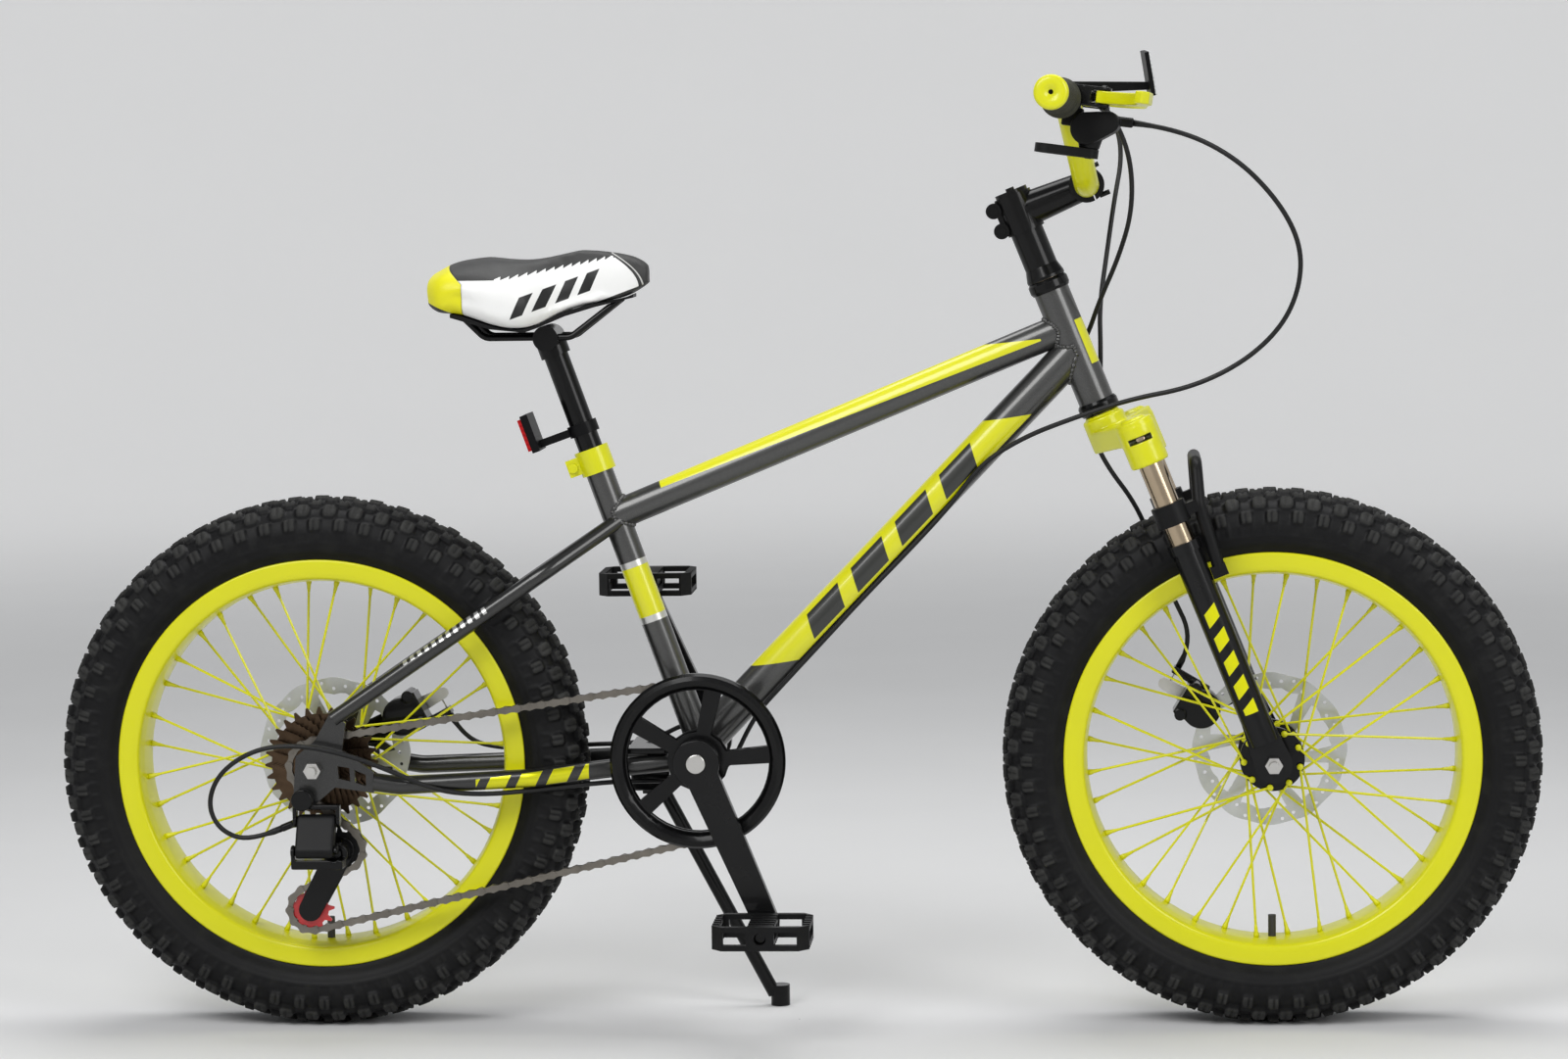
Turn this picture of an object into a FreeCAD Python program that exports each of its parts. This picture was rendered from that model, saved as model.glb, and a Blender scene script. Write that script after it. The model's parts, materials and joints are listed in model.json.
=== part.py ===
import FreeCAD
import Part
import Sketcher
import math
import os

# Driving sizes, in millimetres and degrees
SIZES = {
    # layout: origin on the ground midway between the axles, +X forward, +Y left, +Z up
    "wheel_base": 978,
    "crank_z": 281,
    "seat_lean": 19.5,
    "steer_lean": 21.7,
    "fork_offset": 28,
    "running_fit": 0.05,
    "seat_gap": 0.3,
    # wheels
    "tire_radius": 275,
    "rear_centre": "=tire_radius + 119",
    "crank_x": "=rear_centre - wheel_base / 2",
    "tire_half_width": 48,
    "tire_bulge_radius": 238,
    "tire_wall": 4,
    "tread_half_width": 31,
    "knob_height": 6,
    "knob_pitches": 36,
    "knob_sink": 2,
    "rim_radius": 210,
    "rim_half_width": 38,
    "rim_depth": 18,
    "rim_wall": 3,
    "rim_draft": 2,
    "bead_depth": 8,
    "valve_radius": 4,
    "valve_length": 38,
    "spoke_count": 36,
    "spoke_width": 2.3,
    "spoke_cross": 60,
    "spoke_circle": 29,
    "spoke_rim_offset": 9,
    "spoke_lift": 2.2,
    "flange_radius": 33,
    "flange_thickness": 4,
    "hub_radius": 16,
    "left_flange": 30,
    "front_right_flange": 30,
    "rear_right_flange": 20,
    "disc_radius": 80,
    "disc_thickness": 2,
    "disc_ring": 16,
    "disc_boss_radius": 22,
    "front_disc_seat": 45,
    "rear_disc_seat": 47,
    "hub_nose_radius": 12,
    "axle_radius": 5,
    "axle_overhang": 18,
    "nut_radius": 9,
    "nut_height": 10,
    "front_hub_half": 58,
    "rear_hub_half": 62,
    "front_dropout": 67.5,
    "rear_dropout": 75,
    "dropout_thickness": 6,
    # frame tubes
    "head_tube_length": 121,
    "head_tube_radius": 18.3,
    "head_tube_bore": 16.9,
    "tube_wall": 1.5,
    "top_tube_radius": 15.9,
    "top_tube_on_head": 81,
    "down_tube_radius": 19,
    "down_tube_on_head": 56,
    "down_tube_lift": 7,
    "seat_tube_radius": 14.3,
    "seat_tube_length": 333,
    "top_tube_on_seat": "=seat_tube_length - 72",
    "shell_radius": 20,
    "shell_half_length": 50,
    "shell_bore": 17,
    "chain_stay_radius": 9.5,
    "seat_stay_radius": 8,
    "stay_bend": 60,
    "collar_radius": 18,
    "collar_height": 26,
    "clamp_slit": 2,
    # fork: its length follows the tire, and its levels hang below the lower bearing cup
    "fork_length": "=tire_radius + 130",
    "fork_travel": 42,
    "race_height": 3.7,
    "steerer_radius": 14.3,
    "steerer_wall": 2,
    "cup_radius": 21,
    "cup_height": 13,
    "stanchion_radius": 12.7,
    "stanchion_wall": 2,
    "crown_top": "=fork_length - cup_height - seat_gap - race_height",
    "crown_depth": 34,
    "crown_radius": 22,
    "socket_top": "=crown_top - 18",
    "socket_low": "=socket_top - 41",
    "socket_radius": 20,
    "ring_height": 22,
    "ring_low": "=socket_low - fork_travel - ring_height - 2",
    "ring_radius": 17.5,
    "leg_spread": 70,
    "leg_radius": 15,
    "leg_low": 24,
    "leg_floor": 40,
    "leg_top": "=ring_low - 20",
    "stanchion_low": "=leg_top - 123",
    "plunger_radius": 6,
    "plunger_top": "=leg_top - 43",
    "elastomer_radius": 9,
    "boss_radius": 19,
    "arch_radius": 6.5,
    "arch_reach": 42,
    "arch_top": "=ring_low + 49",
    # cockpit
    "spacer_radius": 17,
    "spacer_count": 3,
    "spacer_height": 13,
    "cover_height": 13.7,
    "head_top": "=fork_length + head_tube_length",
    "cover_low": "=head_top + cup_height + seat_gap",
    "spacer_low": "=cover_low + cover_height",
    "stem_low": "=spacer_low + spacer_count * spacer_height",
    "stem_height": 40,
    "stem_reach": 74,
    "stem_radius": 19.5,
    "bar_clamp_radius": 18,
    "bar_clamp_width": 44,
    "bar_radius": 12.7,
    "bar_wall": 2,
    "bar_flat": 42,
    "bar_rise": 84,
    "bar_forward": 14,
    "bar_half_width": 288,
    "hand_span": 168,
    "bar_bend_span": "=bar_half_width - hand_span",
    "bar_sweep": 9.4,
    "bar_upsweep": 13,
    "bar_bend": 45,
    "grip_radius": 17,
    "grip_length": 100,
    "grip_flange": 20,
    "grip_cap": 4,
    "hand_tilt": 8,
    "lever_place": 46,
    "lever_clamp_radius": 17,
    "lever_clamp_width": 14,
    "lever_reach": 40,
    "lever_pin_radius": 3,
    "lever_thickness": 12,
    "lever_lift": 6,
    "blade_length": 104,
    "shifter_place": 20,
    # saddle
    "seatpost_radius": 12.7,
    "seatpost_wall": 2,
    "seatpost_low": "=seat_tube_length - 133",
    "seatpost_top": "=seat_tube_length + 116",
    "clamp_place": "=seatpost_top + 9",
    "rail_radius": 3.5,
    "rail_spread": 22,
    "saddle_length": 230,
    "saddle_tail_x": "=crank_x - clamp_place * sin(seat_lean * 1deg) - 122.1",
    "saddle_half_width": 74,
    "saddle_low_z": "=crank_z + clamp_place * cos(seat_lean * 1deg) + 10.3",
    "saddle_height": 68,
    "saddle_shell_thickness": 4,
    # drive
    "chain_line": 62,
    "chain_pitch": 12.7,
    "chainring_teeth": 40,
    "sprocket_thickness": 2,
    "guard_radius": 90,
    "guard_place": 67,
    "guard_thickness": 3,
    "window_count": 5,
    "spider_radius": 24,
    "spindle_radius": 8.5,
    "crank_length": 178,
    "crank_angle": -67,
    "crank_inner": 78,
    "crank_thickness": 14,
    "crank_hub_radius": 17,
    "crank_boss_radius": 22,
    "crank_end_radius": 13,
    "pedal_pin_radius": 6,
    "pedal_length": 98,
    "pedal_width": 84,
    "pedal_height": 24,
    "pedal_gap": 5,
    "sprocket_pitch": 5,
    "carrier_radius": 21,
    "guide_x": 24,
    "guide_drop": 85,
    "tension_x": -9,
    "tension_drop": 147,
    "pulley_teeth": 11,
    "cage_inner_gap": 11,
    "cage_thickness": 1.6,
    "cage_radius": 14,
    "hanger_x": -10,
    "hanger_drop": 29,
    "knuckle_radius": 11,
    "link_x": 4,
    "link_length": 34,
    "link_lean": 30,
    "link_radius": 7,
    "link_width": 40,
    "link_pin_radius": 2.5,
    # brakes and stand
    "caliper_place": 84,
    "caliper_radial": 44,
    "caliper_width": 46,
    "caliper_inboard": 11,
    "caliper_outboard": 22,
    "pad_thickness": 1.2,
    "front_caliper_angle": 149,
    "rear_caliper_angle": 28,
    "arm_length": 42,
    "arm_thickness": 5,
    "arm_hub_radius": 9,
    "arm_tip_radius": 6,
    "stand_x": "=crank_x - 55",
    "stand_y": 54,
    "stand_z": 246,
    "stand_foot_x": "=crank_x + 70",
    "stand_foot_y": 76,
    "stand_radius": 7,
    "stand_eye_radius": 11,
    "stand_pin_radius": 4,
    "foot_radius": 10,
    "cable_radius": 2.5,
}

doc = FreeCAD.newDocument("fat_tire_bike")
sheet = doc.addObject("Spreadsheet::Sheet", "sizes")
for row, (alias, number) in enumerate(SIZES.items(), start=1):
    sheet.set(f"A{row}", alias)
    sheet.set(f"B{row}", str(number))
    sheet.setAlias(f"B{row}", alias)
doc.recompute()


class SheetSizes:
    """The sheet's cells, read by alias."""

    def __getattr__(self, name):
        return float(sheet.get(name))


s = SheetSizes()
nodes = {}
Vector = FreeCAD.Vector
Placement = FreeCAD.Placement
Rotation = FreeCAD.Rotation
X_AXIS = Vector(1, 0, 0)
Y_AXIS = Vector(0, 1, 0)
Z_AXIS = Vector(0, 0, 1)
HERE = Placement()
TO_RIGHT = Rotation(X_AXIS, 90)
TO_FRONT = Rotation(Y_AXIS, 90)


# Drawing helpers

def node(label, item):
    """Name a finished sub-part, whose label is also its file name."""
    item.Label = label
    nodes[label] = item
    return item


def moved(x, y, z, rotation=Rotation()):
    return Placement(Vector(x, y, z), rotation)


def rod(name, radius, length, place=HERE):
    item = doc.addObject("Part::Cylinder", name)
    item.setExpression("Radius", str(radius))
    item.setExpression("Height", str(length))
    item.Placement = place
    return item


def block(name, length, width, height, place=HERE):
    item = doc.addObject("Part::Box", name)
    item.setExpression("Length", str(length))
    item.setExpression("Width", str(width))
    item.setExpression("Height", str(height))
    item.Placement = place
    return item


def cone(name, low_radius, high_radius, height, place=HERE):
    item = doc.addObject("Part::Cone", name)
    item.setExpression("Radius1", str(low_radius))
    item.setExpression("Radius2", str(high_radius))
    item.setExpression("Height", str(height))
    item.Placement = place
    return item


def union(name, *items):
    item = doc.addObject("Part::MultiFuse", name)
    item.Shapes = list(items)
    return item


def cut(name, base, *tools):
    item = doc.addObject("Part::Cut", name)
    item.Base = base
    item.Tool = tools[0] if len(tools) == 1 else union(name + "_tools", *tools)
    return item


def group(name, *items):
    item = doc.addObject("Part::Compound", name)
    item.Links = list(items)
    return item


def mirrored(name, source):
    """The left-hand copy of a right-hand piece."""
    item = doc.addObject("Part::Mirroring", name)
    item.Source = source
    item.Normal = Y_AXIS
    return item


def feature(name, shape, place=HERE):
    item = doc.addObject("Part::Feature", name)
    item.Shape = shape
    item.Placement = place
    return item


def ring(name, outer, inner, length, place=HERE):
    bore_place = place * moved(0, 0, -1)
    return cut(name, rod(name + "_body", outer, length, place),
               rod(name + "_bore", inner, f"{length} + 2", bore_place))


def along(start, end):
    """Placement whose Z axis runs from start to end."""
    return Placement(start, Rotation(Z_AXIS, end - start))


def sketch_on(body, role, name):
    sketch = body.newObject("Sketcher::SketchObject", name)
    plane = next(item for item in body.Origin.OriginFeatures if item.Role == role)
    sketch.AttachmentSupport = [(plane, "")]
    sketch.MapMode = "FlatFace"
    return sketch


def hold_point(sketch, geometry, end, expressions):
    """Tie one point of a sketch to a pair of expressions measured from the sketch's origin."""
    for kind, expression in zip(("DistanceX", "DistanceY"), expressions):
        number = float(sheet.evalExpression(str(expression)))
        index = sketch.addConstraint(Sketcher.Constraint(kind, -1, 1, geometry, end, number))
        sketch.setExpression(f"Constraints[{index}]", str(expression))


def closed_outline(sketch, corners):
    """A closed outline of straight sides whose corners are pairs of expressions."""
    points = [Vector(*(float(sheet.evalExpression(str(e))) for e in corner), 0) for corner in corners]
    first = sketch.GeometryCount
    count = len(points)
    for i in range(count):
        sketch.addGeometry(Part.LineSegment(points[i], points[(i + 1) % count]))
    for i in range(count):
        sketch.addConstraint(Sketcher.Constraint("Coincident", first + i, 2, first + (i + 1) % count, 1))
        hold_point(sketch, first + i, 1, corners[i])


def circle_outline(sketch, radius, centre=("0", "0")):
    x, y = (float(sheet.evalExpression(str(e))) for e in centre)
    number = float(sheet.evalExpression(str(radius)))
    index = sketch.addGeometry(Part.Circle(Vector(x, y, 0), Z_AXIS, number))
    hold_point(sketch, index, 3, centre)
    held = sketch.addConstraint(Sketcher.Constraint("Radius", index, number))
    sketch.setExpression(f"Constraints[{held}]", str(radius))


def turned(name, corners, place=HERE):
    """A lathe piece: corners are (radius, height) pairs of expressions, turned about Z."""
    body = doc.addObject("PartDesign::Body", name)
    sketch = sketch_on(body, "XZ_Plane", name + "_profile")
    closed_outline(sketch, corners)
    turn = body.newObject("PartDesign::Revolution", name + "_turn")
    turn.Profile = sketch
    turn.ReferenceAxis = (sketch, ["V_Axis"])
    turn.Angle = 360
    body.Placement = place
    return body


def padded(name, draw, thickness, place=HERE, windows=None, copies=1):
    """A flat piece: draw(sketch) makes the outline, windows(sketch) what is cut through it."""
    body = doc.addObject("PartDesign::Body", name)
    sketch = sketch_on(body, "XY_Plane", name + "_outline")
    draw(sketch)
    pad = body.newObject("PartDesign::Pad", name + "_pad")
    pad.Profile = sketch
    pad.setExpression("Length", str(thickness))
    if windows:
        opening = sketch_on(body, "XY_Plane", name + "_window")
        windows(opening)
        pocket = body.newObject("PartDesign::Pocket", name + "_pocket")
        pocket.Profile = opening
        pocket.Type = "ThroughAll"
        pocket.Reversed = True
        if copies > 1:
            pattern = body.newObject("PartDesign::PolarPattern", name + "_pattern")
            pattern.Originals = [pocket]
            pattern.Axis = (opening, ["N_Axis"])
            pattern.Angle = 360
            pattern.Occurrences = copies
            body.Tip = pattern
    body.Placement = place
    return body


def arm_face(big, small, length):
    """Face of a tapered arm: two rounded ends joined by their common tangents, big end at the origin."""
    turn = math.acos((big - small) / length)
    ends = []
    for x, radius in ((0, big), (length, small)):
        ends.append([Vector(x + radius * math.cos(a), radius * math.sin(a), 0) for a in (turn, -turn)])
    big_arc = Part.Arc(ends[0][0], Vector(-big, 0, 0), ends[0][1])
    small_arc = Part.Arc(ends[1][1], Vector(length + small, 0, 0), ends[1][0])
    low = Part.LineSegment(ends[0][1], ends[1][1])
    high = Part.LineSegment(ends[1][0], ends[0][0])
    return Part.Face(Part.Wire([edge.toShape() for edge in (big_arc, low, small_arc, high)]))


def arm(name, big, small, length, thickness, place=HERE, holes=()):
    """A tapered arm with (x, radius) holes along its middle line."""
    shape = arm_face(big, small, length).extrude(Vector(0, 0, thickness))
    for x, radius in holes:
        shape = shape.cut(Part.makeCylinder(radius, thickness + 2, Vector(x, 0, -1)))
    return feature(name, shape, place)


def route(points, setbacks):
    """One wire of straight runs joined by tangent arcs, each arc reaching its setback along both runs."""
    edges = []
    radii = []
    last = points[0]
    for before, corner, after, setback in zip(points, points[1:], points[2:], setbacks):
        into = (corner - before).normalize()
        out = (after - corner).normalize()
        half = into.getAngle(out) / 2
        radius = setback / math.tan(half)
        radii.append(radius)
        inward = (out - into).normalize()
        start = corner - into * setback
        middle = corner + inward * (radius / math.cos(half) - radius)
        end = corner + out * setback
        if (start - last).Length > 1e-6:
            edges.append(Part.LineSegment(last, start).toShape())
        edges.append(Part.Arc(start, middle, end).toShape())
        last = end
    edges.append(Part.LineSegment(last, points[-1]).toShape())
    return Part.Wire(edges), radii


def bent_tube(points, radius, bend, bore=0):
    """A round bar or tube bent to one radius at each corner of its route."""
    turns = []
    for before, corner, after in zip(points, points[1:], points[2:]):
        half = (corner - before).getAngle(after - corner) / 2
        turns.append(bend * math.tan(half))
    path, radii = route(points, turns)
    start = points[0]
    axis = points[1] - start
    face = Part.Face(Part.Wire(Part.makeCircle(radius, start, axis)))
    if bore:
        face = face.cut(Part.Face(Part.Wire(Part.makeCircle(bore, start, axis)))).Faces[0]
    return path.makePipe(face)


def cable(name, points):
    """A cable housing along hand-chosen points, with arcs as large as the runs allow."""
    points = [Vector(*point) for point in points]
    runs = [(b - a).Length for a, b in zip(points, points[1:])]
    setbacks = [0.45 * min(a, b) for a, b in zip(runs, runs[1:])]
    path, radii = route(points, setbacks)
    start = Part.Wire(Part.makeCircle(s.cable_radius, points[0], points[1] - points[0]))
    shape = path.makePipeShell([start], True, False)
    expected = math.pi * s.cable_radius ** 2 * path.Length
    print(name, "length", round(path.Length), "least radius", round(min(radii), 1), "volume share",
          round(shape.Volume / expected, 4), "runs", [round(run) for run in runs])
    return feature(name + "_housing", shape)


# Main points and local frames

steer_angle = math.radians(s.steer_lean)
steer_up = Vector(-math.sin(steer_angle), 0, math.cos(steer_angle))
steer_ahead = Vector(math.cos(steer_angle), 0, math.sin(steer_angle))
front_axle = Vector(s.wheel_base / 2, 0, s.tire_radius)
rear_axle = Vector(-s.wheel_base / 2, 0, s.tire_radius)
crank_centre = Vector(s.crank_x, 0, s.crank_z)
STEER = Placement(front_axle - steer_ahead * s.fork_offset, Rotation(Y_AXIS, -s.steer_lean))
SEAT = Placement(crank_centre, Rotation(Y_AXIS, -s.seat_lean))
FRONT_WHEEL = Placement(front_axle, TO_RIGHT)
REAR_WHEEL = Placement(rear_axle, TO_RIGHT)
CRANK = Placement(crank_centre, TO_RIGHT)


def on_steer(x, y, z):
    return STEER.multVec(Vector(x, y, z))


def on_seat(z):
    return SEAT.multVec(Vector(0, 0, z))


# Wheels: tire with knobs, inner tube, rim, spokes, hub and brake disc

def carcass_side(inset):
    """(radius, half width) corners of one side of the tire, bead to crown, moved in by inset."""
    bead_width = s.rim_half_width - s.rim_wall
    crown = s.tire_radius - s.knob_height
    shoulder = (s.tire_bulge_radius + crown) / 2
    low = (s.tire_bulge_radius + s.rim_radius) / 2
    return [
        (s.rim_radius - s.bead_depth, bead_width - 1.6 - inset),
        (s.rim_radius + s.rim_draft, bead_width - inset),
        (low, s.tire_half_width - 3 - inset),
        (s.tire_bulge_radius, s.tire_half_width - inset),
        (shoulder, s.tire_half_width - 2.5 - inset),
        (crown - inset, s.tread_half_width - inset / 2),
    ]


def sector_solid(section, half_turn):
    """One wedge of a ring with flat sides, from a closed list of (radius at mid-wedge, width) corners."""
    ends = []
    for side in (-1, 1):
        ends.append([Vector(r, side * r * math.tan(half_turn), w) for r, w in section])
    faces = [Part.Face(Part.makePolygon(end + end[:1])) for end in ends]
    count = len(section)
    for i in range(count):
        j = (i + 1) % count
        corners = [ends[0][i], ends[0][j], ends[1][j], ends[1][i], ends[0][i]]
        faces.append(Part.Face(Part.makePolygon(corners)))
    return Part.makeSolid(Part.Shell(faces))


def closed_ring(wedge, half_turn, count):
    """Repeat a wedge round the axle and sew its open sides together into one solid."""
    normals = [Vector(math.sin(half_turn), side * math.cos(half_turn), 0) for side in (-1, 1)]
    kept = []
    for face in wedge.Faces:
        on_side = any(all(abs(v.Point.dot(n)) < 1e-5 for v in face.Vertexes) for n in normals)
        if not on_side:
            kept.append(face)
    faces = []
    for step in range(count):
        for face in kept:
            copy = face.copy()
            copy.rotate(Vector(), Z_AXIS, 360 * step / count)
            faces.append(copy)
    sewn = Part.Compound(faces)
    sewn.sewShape()
    solid = Part.makeSolid(sewn.Shells[0])
    if solid.Volume < 0:
        solid.reverse()
    return solid


def tread_knobs():
    """The knobs of one tread pitch: a centre pair, a staggered outer pair and a shoulder pair."""
    crown = s.tire_radius - s.knob_height
    pitch = 2 * math.pi * s.tire_radius / s.knob_pitches
    base = crown - s.knob_sink
    knob_length = 0.38 * pitch
    knob_width = 0.4 * s.tread_half_width
    lip = s.tire_half_width - 2.5 - s.tread_half_width
    rise = (s.tire_bulge_radius + crown) / 2 - crown
    slope = math.degrees(math.atan2(lip, -rise))
    knobs = []
    for side in (-1, 1):
        rows = ((0.3 * s.tread_half_width, -knob_length / 2), (0.76 * s.tread_half_width, 0.05 * pitch))
        for middle, start in rows:
            corner = Vector(base, start, side * middle - knob_width / 2)
            knobs.append(Part.makeBox(s.tire_radius - base, knob_length, knob_width, corner))
        shoulder = Part.makeBox(s.knob_sink + s.knob_height - 1, knob_length, knob_width)
        shoulder.translate(Vector(-s.knob_sink, -0.45 * pitch, -knob_width / 2))
        shoulder.rotate(Vector(), Y_AXIS, -side * slope)
        shoulder.translate(Vector(crown + rise / 2, 0, side * (s.tread_half_width + lip / 2)))
        knobs.append(shoulder)
    return knobs


def mirrored_section(side):
    return side + [(radius, -width) for radius, width in reversed(side)]


def tire_shape():
    count = int(s.knob_pitches)
    half_turn = math.pi / count
    outer = mirrored_section(carcass_side(0))
    inner = mirrored_section(carcass_side(s.tire_wall))
    wedge = sector_solid(outer + inner[::-1], half_turn)
    return closed_ring(wedge.fuse(tread_knobs()).removeSplitter(), half_turn, count)


def inner_tube_shape():
    """A thin tube lying against the inside of the tire, with its valve pointing at the hub."""
    count = int(s.knob_pitches)
    half_turn = math.pi / count
    gap = s.tire_wall + s.seat_gap
    sides = [[carcass_side(inset)[k] for k in (0, 1, 3, 5)] for inset in (gap, gap + 1.5)]
    skin = [closed_ring(sector_solid(mirrored_section(side), half_turn), half_turn, count) for side in sides]
    foot = s.rim_radius - s.bead_depth
    core = skin[1].common(Part.makeCylinder(s.tire_radius, s.tire_half_width * 2,
                                            Vector(0, 0, -s.tire_half_width)))
    lid = Part.makeCylinder(foot + 2.5, s.tire_half_width * 2, Vector(0, 0, -s.tire_half_width))
    tube = skin[0].cut(core.cut(lid))
    valve = Part.makeCylinder(s.valve_radius, s.valve_length, Vector(0, -foot - 2, 0), Y_AXIS)
    return tube.fuse(valve).removeSplitter()


def hex_bar(start, end, width):
    place = along(start, end)
    corners = [Vector(width / math.sqrt(3) * math.cos(a), width / math.sqrt(3) * math.sin(a), 0)
               for a in (math.pi / 3 * k for k in range(7))]
    bar = Part.Face(Part.makePolygon(corners)).extrude(Vector(0, 0, (end - start).Length))
    bar.Placement = place
    return bar


def spokes_shape(right_flange):
    """Crossed spokes between the hub flanges and the rim, heads alternately inside and outside."""
    bars = []
    count = int(s.spoke_count)
    reach = s.rim_radius - s.rim_depth - 4 - s.seat_gap
    head = s.flange_thickness / 2 + s.spoke_width / 2 + 0.6
    for k in range(count):
        right = k % 2 == 0
        ahead = (k // 2) % 2 == 0
        outside = s.spoke_lift if right == ahead else 0
        rim_angle = math.radians(360 * (k + 0.5) / count)
        hub_angle = rim_angle + math.radians(s.spoke_cross if ahead else -s.spoke_cross)
        place = (right_flange if right else -s.left_flange) + (head + outside) * (1 if ahead else -1)
        rim_place = s.spoke_rim_offset if right else -s.spoke_rim_offset
        start = Vector(s.spoke_circle * math.cos(hub_angle), s.spoke_circle * math.sin(hub_angle), place)
        end = Vector(reach * math.cos(rim_angle), reach * math.sin(rim_angle), rim_place)
        bars.append(hex_bar(start, end, s.spoke_width))
    return Part.Compound(bars)


def rim(name, place):
    outer = "sizes.rim_radius"
    side = "sizes.rim_radius - sizes.rim_depth"
    well = "sizes.rim_radius - sizes.rim_depth - 4"
    wall = "sizes.rim_wall"
    half = "sizes.rim_half_width"
    low = "(sizes.rim_half_width - sizes.rim_draft)"
    right = [(outer, half), (side, low), (well, f"{half} / 2")]
    inside = [(f"{well} + {wall}", f"{half} / 2"), (f"{side} + {wall}", f"{low} - {wall}"),
              (outer, f"{half} - {wall}")]
    left = [(r, f"-({w})") for r, w in reversed(right)]
    inside_left = [(r, f"-({w})") for r, w in reversed(inside)]
    body = turned(name + "_body", right + left + inside_left + inside, place)
    hole = rod(name + "_valve_hole", "sizes.valve_radius + sizes.seat_gap", "sizes.rim_radius",
               place * moved(0, 0, 0, Rotation(X_AXIS, 90)))
    return cut(name + "_bored", body, hole)


def hub(name, place, right_flange, disc_seat, half, boss=None):
    bore = "sizes.axle_radius + sizes.running_fit"
    thick = "sizes.flange_thickness / 2"
    shell = "sizes.hub_radius"
    flange = "sizes.flange_radius"
    nose = "sizes.hub_nose_radius"
    left = "sizes.left_flange"
    right_end = [(nose, half), (nose, f"{right_flange} + {thick}")]
    if boss:
        right_end = [(shell, boss), (shell, f"{right_flange} + {thick}")]
    corners = [(bore, right_end[0][1])] + right_end + [
        (flange, f"{right_flange} + {thick}"), (flange, f"{right_flange} - {thick}"),
        (shell, f"{right_flange} - {thick} - 2"), (shell, f"-({left} - {thick} - 2)"),
        (flange, f"-({left} - {thick})"), (flange, f"-({left} + {thick})"),
        ("sizes.disc_boss_radius", f"-({left} + {thick} + 1)"), ("sizes.disc_boss_radius", f"-({disc_seat})"),
        (nose, f"-({disc_seat})"), (nose, f"-({half})"), (bore, f"-({half})"),
    ]
    return turned(name, corners, place)


def disc(name, place):
    """A brake disc: a braking ring carried by curved arms between windows."""
    inner = "sizes.disc_radius - sizes.disc_ring"

    def outline(sketch):
        circle_outline(sketch, "sizes.disc_radius")
        circle_outline(sketch, "sizes.hub_nose_radius + sizes.running_fit")

    def window(sketch):
        low = "(sizes.disc_boss_radius + 5)"
        high = f"({inner})"
        closed_outline(sketch, [
            (f"{low} * cos(-18deg)", f"{low} * sin(-18deg)"),
            (f"{high} * cos(-2deg)", f"{high} * sin(-2deg)"),
            (f"{high} * cos(22deg)", f"{high} * sin(22deg)"),
            (f"{high} * cos(44deg)", f"{high} * sin(44deg)"),
            (f"{low} * cos(26deg)", f"{low} * sin(26deg)"),
        ])

    return padded(name, outline, "sizes.disc_thickness", place, window, 6)


def wheel(end, place, right_flange, disc_seat, half, boss=None):
    node(f"{end}_tire", feature(f"{end}_tire_rubber", tire_shape(), place))
    node(f"{end}_inner_tube", feature(f"{end}_tube_rubber", inner_tube_shape(), place))
    node(f"{end}_rim", rim(f"{end}_rim_turned", place))
    flange_place = float(sheet.evalExpression(right_flange))
    node(f"{end}_spokes", feature(f"{end}_spoke_set", spokes_shape(flange_place), place))
    node(f"{end}_hub", hub(f"{end}_hub_turned", place, right_flange, disc_seat, half, boss))
    seat = float(sheet.evalExpression(disc_seat))
    node(f"{end}_disc", disc(f"{end}_disc_plate", place * moved(0, 0, -seat - s.disc_thickness)))


wheel("front", FRONT_WHEEL, "sizes.front_right_flange", "sizes.front_disc_seat", "sizes.front_hub_half")
wheel("rear", REAR_WHEEL, "sizes.rear_right_flange", "sizes.rear_disc_seat", "sizes.rear_hub_half",
      "sizes.chain_line + sizes.sprocket_thickness")


def axle(label, place, dropout, left_half, right_half):
    """Axle rod with its inner cones and outer nuts, which clamp the dropouts."""
    outside = f"({dropout} + sizes.dropout_thickness)"
    reach = f"({outside} + sizes.axle_overhang)"
    face = float(sheet.evalExpression(outside))
    pieces = [rod(label + "_rod", "sizes.axle_radius", f"2 * {reach}",
                  place * moved(0, 0, -float(sheet.evalExpression(reach))))]
    bore = "sizes.axle_radius + sizes.running_fit"
    for side, half in ((1, right_half), (-1, left_half)):
        turn = Rotation() if side == 1 else Rotation(X_AXIS, 180)
        start = float(sheet.evalExpression(half)) + s.seat_gap
        length = f"{dropout} - ({half}) - sizes.seat_gap"
        pieces.append(ring(f"{label}_cone_{side + 1}", "sizes.nut_radius", bore, length,
                           place * moved(0, 0, side * start, turn)))
        corner = [Vector(s.nut_radius * math.cos(a), s.nut_radius * math.sin(a), 0)
                  for a in (math.pi / 3 * k for k in range(7))]
        nut = Part.Face(Part.makePolygon(corner)).extrude(Vector(0, 0, s.nut_height))
        nut = nut.cut(Part.makeCylinder(s.axle_radius + s.running_fit, s.nut_height))
        pieces.append(feature(f"{label}_nut_{side + 1}", nut, place * moved(0, 0, side * face, turn)))
    return node(label, group(label + "_set", *pieces))


axle("front_axle", FRONT_WHEEL, "sizes.front_dropout", "sizes.front_hub_half", "sizes.front_hub_half")
axle("rear_axle", REAR_WHEEL, "sizes.rear_dropout", "sizes.rear_hub_half",
     "sizes.chain_line + sizes.sprocket_thickness")


# Frame: five main tubes, mitred where they meet

def between(name, radius, start, end):
    return rod(name, radius, (end - start).Length, along(start, end))


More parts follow.
